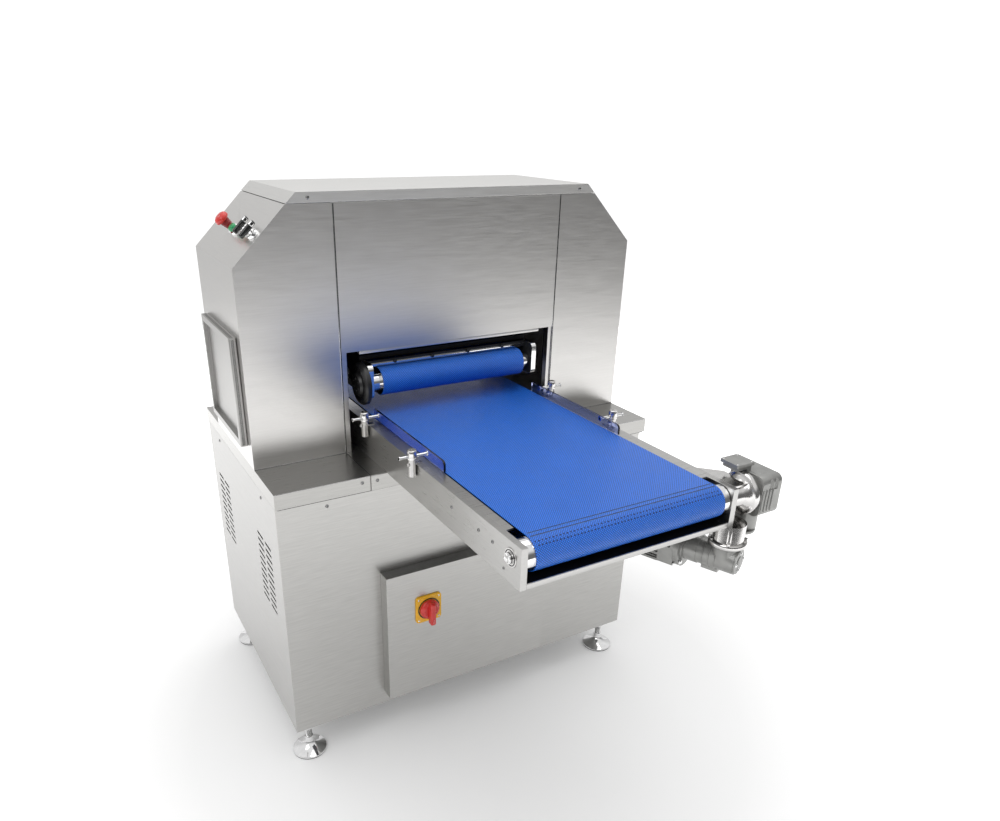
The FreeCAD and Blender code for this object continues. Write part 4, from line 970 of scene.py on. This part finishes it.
def make_lower_drive():
    """Flange bolts, cooling fins, a fan cover and tie bolts on the lower gear motor."""
    back = Vector((-math.sin(LOWER_TURN), math.cos(LOWER_TURN), 0))
    start = Vector((LOWER_START_X, CABINET_FRONT - LOWER_START_AHEAD, middle("lower_motor").z))
    side = Vector((0, 0, 1)).cross(back)

    def at(distance, across=0.0, rise=0.0):
        return start + back * (distance * MM) + side * (across * MM) + Vector((0, 0, rise * MM))

    build = bmesh.new()
    for i in range(4):
        a = math.radians(45 + 90 * i)
        hex_bolt(build, at(98.5, 50 * math.cos(a), 50 * math.sin(a)), -back, 4.5 * MM, 4 * MM, 1)
    for i in range(4):
        a = math.radians(90 * i)
        hex_bolt(build, at(-37, 24 * math.cos(a), 24 * math.sin(a)), -back, 3.2 * MM, 2.6 * MM, 1)
    lathe(build, mm_points((0, 0), (14, 0), (14, 1.4), (12, 2.2), (0, 2.2)), frame_at(at(-36.8), -back), 40,
          0)
    for distance in (14, 30, 46):
        lathe(build, mm_points((34.9, -2), (36.6, -1.4), (36.6, 1.4), (34.9, 2)),
              frame_at(at(distance), back), 64, 0)
    for level in range(11):
        rise = -44 + 8.8 * level
        for across in (-1, 1):
            place = frame_at(at(202.5, across * 45.5, rise), back, side)
            block(build, mm(8, 2.2, 91), place, 0, 0.7 * MM, 2)
    for index in range(8):
        across = -34 + 9.7 * index
        for rise in (-1, 1):
            place = frame_at(at(202.5, across, rise * 45.5), back, Vector((0, 0, 1)))
            block(build, mm(8, 2.2, 91), place, 0, 0.7 * MM, 2)
    cover = frame_at(at(250), back, side)
    points = rounded_outline(97 * MM, 97 * MM, 14 * MM, 8)
    outline_plate(build, points, 9 * MM, cover, 0)
    # painted shade: a dark disc behind the fan cover's rings stands for the shade in its openings
    lathe(build, mm_points((0, 11.2), (40, 11.2), (41, 11.6), (41, 12.4), (0, 12.4)), cover, 48, 2)
    for radius in (12, 20, 28, 36):
        ring = [((radius - 1.2) * MM, 12.2 * MM), ((radius + 1.2) * MM, 12.2 * MM),
                ((radius + 1.0) * MM, 13.4 * MM), ((radius - 1.0) * MM, 13.4 * MM)]
        lathe(build, ring, cover, 48, 0)
    for i in range(4):
        a = math.radians(45 + 90 * i)
        hex_bolt(build, at(112, 46 * math.sqrt(2) * math.cos(a) * 0.93,
                           46 * math.sqrt(2) * math.sin(a) * 0.93), -back, 3.4 * MM, 3 * MM, 1,
                 washer=False)
    # painted shade: a dark disc stands for the shade in a hole
    hole = frame_at(at(128, 49, 6), side, back)
    lathe(build, mm_points((0, -0.2), (5, -0.2), (5, 0.5), (0, 0.5)), hole, 24, 2)
    finish_piece("lower_drive_details", build, ["motor", "chrome", "motor_painted_shade"], "machine")


# ---- hatches, hinges, vents ----------------------------------------------------------------------
def make_hatch_trim():
    """The folded rim's seams as black strips of painted shadow beside a strip in the side steel, and the
    latch hole in its front edge, a chrome ring round a black disc of painted shade.
    """
    for side, sign in (("left", -1), ("right", 1)):
        a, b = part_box(f"{side}_hatch")
        outer = a.x if sign < 0 else b.x
        build = bmesh.new()
        # black strips are painted shadow in the rim's seams
        for depth, skin in ((6.5, 0), (11.5, 0), (9.0, 2)):
            seam = shift((outer - sign * depth * MM, a.y, (a.z + b.z) / 2))
            block(build, (1.3 * MM, 0.5 * MM, b.z - a.z - 7 * MM), seam, skin, 0.1 * MM, 1)
            top = shift((outer - sign * depth * MM, (a.y + b.y) / 2 - 4 * MM, b.z))
            block(build, (1.3 * MM, b.y - a.y - 24 * MM, 0.5 * MM), top, skin, 0.1 * MM, 1)
        ring = frame_at((outer, a.y + 8.5 * MM, b.z - 72 * MM), (sign, 0, 0))
        lathe(build, mm_points((2.6, -0.4), (4.4, -0.4), (4.2, 0), (2.8, 0)), ring, 28, 1)
        lathe(build, mm_points((0, -0.4), (2.8, -0.4), (2.6, -0.1), (0, -0.1)), ring, 28, 0)
        finish_piece(f"{side}_hatch_trim", build, ["black", "chrome", "side"], f"{side}_hatch")


def make_hinge_screws():
    """Two screws in each fixed hinge leaf."""
    build = bmesh.new()
    for a, b in loose_boxes(NODES["fixed_hinges"]):
        centre_x = (a.x + b.x) / 2
        if abs(centre_x) > 0.5:
            sign = -1 if centre_x < 0 else 1
            face = (b.x if sign < 0 else a.x) + sign * 2 * MM
            for dz in (6, 20):
                button_screw(build, (face, b.y - 7 * MM, a.z + dz * MM), (sign, 0, 0), 3 * MM)
        else:
            for dz in (6, 20):
                button_screw(build, (b.x - 7 * MM, b.y - 2 * MM, a.z + dz * MM), (0, -1, 0), 3 * MM)
    finish_piece("hinge_screws", build, ["chrome"], "machine")


VENT_MIDDLE_Z, VENT_HEIGHT = 0.593, 0.245
VENT_GROUPS = ((76 * MM, 226 * MM), (534 * MM, 682 * MM))  # back from the cover's front edge
VENT_ROWS, VENT_ROW_LOW, VENT_ROW_STEP = 12, 0.4785, 0.0207


def make_vent_screen():
    """A black ridged screen just behind the cabinet's vent slots, painted shade for the cabinet's inside
    seen through them.
    """
    cover_a, cover_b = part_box("base_left_cover")
    build = bmesh.new()
    front = cover_a.y
    for y0, y1 in VENT_GROUPS:
        y0, y1 = front + y0, front + y1
        place = shift((cover_b.x + 2.0 * MM, (y0 + y1) / 2, VENT_MIDDLE_Z))
        block(build, (1.5 * MM, y1 - y0, VENT_HEIGHT), place, 0, 0.4 * MM, 1)
        for i in range(VENT_ROWS):
            row_z = VENT_ROW_LOW + VENT_ROW_STEP * i
            ridge = shift((cover_b.x + 0.9 * MM, (y0 + y1) / 2, row_z))
            block(build, (1.4 * MM, y1 - y0, 2.4 * MM), ridge, 0, 0.5 * MM, 1)
    finish_piece("vent_shade_screens", build, ["black"], "machine")


# ---- hold-down unit ------------------------------------------------------------------------------
CARRIAGE_X = 279 * MM  # outer face of the hold-down's side plates
# distance back from the carriage's front, and height
CARRIAGE_SCREWS = ((20 * MM, 1140 * MM), (175 * MM, 1140 * MM), (175 * MM, 1075 * MM))


def make_hold_down_trim():
    """Cap screws on the carriage, and grooves and bolts on the dark hub."""
    front = low("hold_down_carriage").y
    build = bmesh.new()
    for sign in (-1, 1):
        x = sign * CARRIAGE_X
        for y, z in CARRIAGE_SCREWS:
            button_screw(build, (x, front + y, z), (sign, 0, 0), 4.5 * MM, 0)
        for axis in (UPPER_AXIS, UPPER_BACK_AXIS):
            if sign < 0 and axis == UPPER_AXIS:
                continue
            lathe(build, mm_points((10.4, 0), (17, 0), (17, 2.5), (16, 3.4), (10.4, 3.4)),
                  frame_at((x, axis.y, axis.z), (sign, 0, 0)), 40, 0)
    hub = frame_at((low("upper_drive_hub").x, UPPER_AXIS.y, UPPER_AXIS.z), (-1, 0, 0))
    for i in range(6):
        spin = hub @ Matrix.Rotation(math.radians(60 * i), 4, "Z")
        button_screw(build, spin @ Vector((18 * MM, 0, -0.3 * MM)), (-1, 0, 0), 3.2 * MM, 1)
    for radius in (39, 44, 49):
        lathe(build, [((radius - 1) * MM, -7.2 * MM), ((radius + 1) * MM, -7.2 * MM),
                      ((radius + 0.7) * MM, -5.8 * MM), ((radius - 0.7) * MM, -5.8 * MM)], hub, 56, 1)
    finish_piece("hold_down_trim", build, ["polished", "black_gloss"], "hold_down")


CAP_RADIUS, CAP_RUN = mm(16, 60)
CARRIAGE_LOW, CARRIAGE_HIGH, CARRIAGE_THICK = mm(1059, 1156, 15)
SCRAPER_SCREW_Z = 1149 * MM


def make_carriage_caps():
    """Bright strips round the side plates' front edges, and the scraper's cover strip."""
    a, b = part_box("hold_down_carriage")

    def edge_path(lift):
        points = [(a.y + CAP_RUN, CARRIAGE_HIGH + lift)]
        for centre_z, start in ((CARRIAGE_HIGH - CAP_RADIUS, 90), (CARRIAGE_LOW + CAP_RADIUS, 180)):
            for i in range(9):
                angle = math.radians(start + 90 * i / 8)
                reach = CAP_RADIUS + lift
                points.append((a.y + CAP_RADIUS + reach * math.cos(angle),
                               centre_z + reach * math.sin(angle)))
        return points + [(a.y + CAP_RUN, CARRIAGE_LOW - lift)]

    outline = edge_path(1.0 * MM) + edge_path(-0.3 * MM)[::-1]
    build = bmesh.new()
    for x in (a.x, b.x - CARRIAGE_THICK):
        place = Matrix(((0, 0, 1, x), (1, 0, 0, 0), (0, 1, 0, 0), (0, 0, 0, 1)))
        outline_plate(build, outline, CARRIAGE_THICK, place, 0)
    scraper_y, scraper_z = UPPER_AXIS.y + 7.4 * MM, UPPER_AXIS.z + 47.5 * MM
    cover = shift((0, scraper_y, scraper_z))
    block(build, (b.x - a.x - 2 * CARRIAGE_THICK - 2 * MM, 1.4 * MM, 10 * MM), cover, 1, 0.4 * MM, 2)
    for x in (-180, -60, 60, 180):
        button_screw(build, (x * MM, scraper_y - 4.6 * MM, SCRAPER_SCREW_Z), (0, -1, 0), 5.2 * MM, 2)
    finish_piece("carriage_caps", build, ["chrome", "side", "black_gloss"], "hold_down")


# ---- seams, lip, shaft ends ----------------------------------------------------------------------
def make_seams():
    """Black strips as painted shadow in the hood's and ledge's seams, with fine chrome strips next to them
    as painted highlights on the folds.
    """
    build = bmesh.new()
    roof_z = high("hood_centre_panel").z
    ledge_z = high("ledge_centre").z
    seam_x = high("hood_centre_panel").x + 0.75 * MM
    for sign in (-1, 1):
        seam_shadow = shift((sign * seam_x, HOOD_FRONT + 0.3 * MM, (roof_z + ledge_z) / 2))
        block(build, (2.6 * MM, 1.0 * MM, roof_z - ledge_z - 4 * MM), seam_shadow, 0, 0.3 * MM, 1)
        fold = shift((sign * seam_x - 2.3 * MM, HOOD_FRONT, (roof_z + ledge_z) / 2))
        block(build, (1.6 * MM, 0.9 * MM, roof_z - ledge_z - 4 * MM), fold, 1, 0.4 * MM, 2)
    for sign in (-1, 1):
        seam_shadow = shift((sign * seam_x, (CABINET_FRONT - 5 * MM + HOOD_FRONT) / 2, ledge_z))
        block(build, (2.2 * MM, HOOD_FRONT - CABINET_FRONT + 3 * MM, 0.5 * MM), seam_shadow, 0, 0.2 * MM, 1)
    # painted highlight: a chrome strip along the hood's foot on the ledge
    width = high("hood_right_shell").x * 2
    foot = shift((0, HOOD_FRONT - 0.5 * MM, ledge_z + 1.0 * MM))
    length = width / 2 - seam_x
    for sign in (-1, 1):
        centre = sign * (width / 2 - length / 2)
        block(build, (length, 1.6 * MM, 2.2 * MM), foot @ shift((centre, 0, 0)), 1, 0.6 * MM, 2)
    finish_piece("hood_seams", build, ["black", "chrome"], "machine")


MOUTH_LIP_Z, MOUTH_LIP_WIDTH = mm(1192.4, 594)


def make_mouth_lip():
    """The pale folded lip over the mouth."""
    build = bmesh.new()
    lip = shift((0, HOOD_FRONT + 5 * MM, MOUTH_LIP_Z))
    block(build, (MOUTH_LIP_WIDTH, 8 * MM, 9 * MM), lip, 0, 1.0 * MM, 2)
    finish_piece("mouth_lip", build, ["roof"], "machine")


def make_ledge_lines():
    """The ledge's front fold as a chrome strip, a painted highlight, and a black strip as painted shadow in
    the gap under its flange.
    """
    build = bmesh.new()
    a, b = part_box("ledge_sides")
    fold = shift((0, a.y + 0.4 * MM, b.z - 0.4 * MM))
    block(build, (b.x - a.x - 6 * MM, 1.8 * MM, 1.8 * MM), fold, 1, 0.8 * MM, 2)
    gap = shift((0, CABINET_FRONT - 0.2 * MM, a.z - 1.2 * MM))
    block(build, (b.x - a.x - 14 * MM, 0.8 * MM, 2.4 * MM), gap, 0, 0.2 * MM, 1)
    finish_piece("ledge_lines", build, ["black", "chrome"], "machine")


def make_tray_lip():
    """The drip tray's bright folded lip at the infeed end."""
    a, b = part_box("conveyor_bed")
    build = bmesh.new()
    place = shift((0, a.y + 1.5 * MM, a.z + 6.6 * MM))
    block(build, (b.x - a.x - 1 * MM, 4.2 * MM, 13.6 * MM), place, 0, 1.2 * MM, 3)
    finish_piece("tray_lip", build, ["plate"], "machine")


def make_shaft_ends():
    """Lock nuts on the left ends of the pulley shafts, and dark seals in their bearings."""
    for name, axis in (("head", HEAD_AXIS), ("tail", TAIL_AXIS)):
        end = low(f"{name}_pulley").x
        build = bmesh.new()
        hex_bolt(build, (end, axis.y, axis.z), (-1, 0, 0), 6.5 * MM, 5 * MM)
        finish_piece(f"{name}_shaft_nut", build, ["chrome"], f"{name}_pulley")
    build = bmesh.new()
    face = low("pulley_bearings").x
    for axis in (HEAD_AXIS, TAIL_AXIS):
        for sign in (-1, 1):
            if sign > 0 and axis == HEAD_AXIS:
                continue
            place = frame_at((-sign * face, axis.y, axis.z), (sign, 0, 0))
            lathe(build, mm_points((16.3, 0.1), (18.5, 0.1), (18.2, 0.8), (16.6, 0.8)), place, 48)
    finish_piece("bearing_seals", build, ["black"], "machine")


def build_scene():
    make_camera()
    make_world()
    make_floor()
    area_light("key", (-2.9, -1.6, 3.4), (0, 0, 0.9), (2.2, 1.8), 30)
    area_light("top", (0.4, 0.4, 4.2), (0, 0, 0.8), (3.5, 3.0), 42)
    dress_nodes()
    make_belts()
    make_panel_screws()
    make_feet()
    make_switch()
    make_controls()
    make_clamps()
    make_belt_drive()
    make_lower_drive()
    make_hatch_trim()
    make_hinge_screws()
    make_vent_screen()
    make_hold_down_trim()
    make_carriage_caps()
    make_seams()
    make_mouth_lip()
    make_ledge_lines()
    make_tray_lip()
    make_shaft_ends()
    bpy.context.scene.view_settings.view_transform = "Standard"


build_scene()
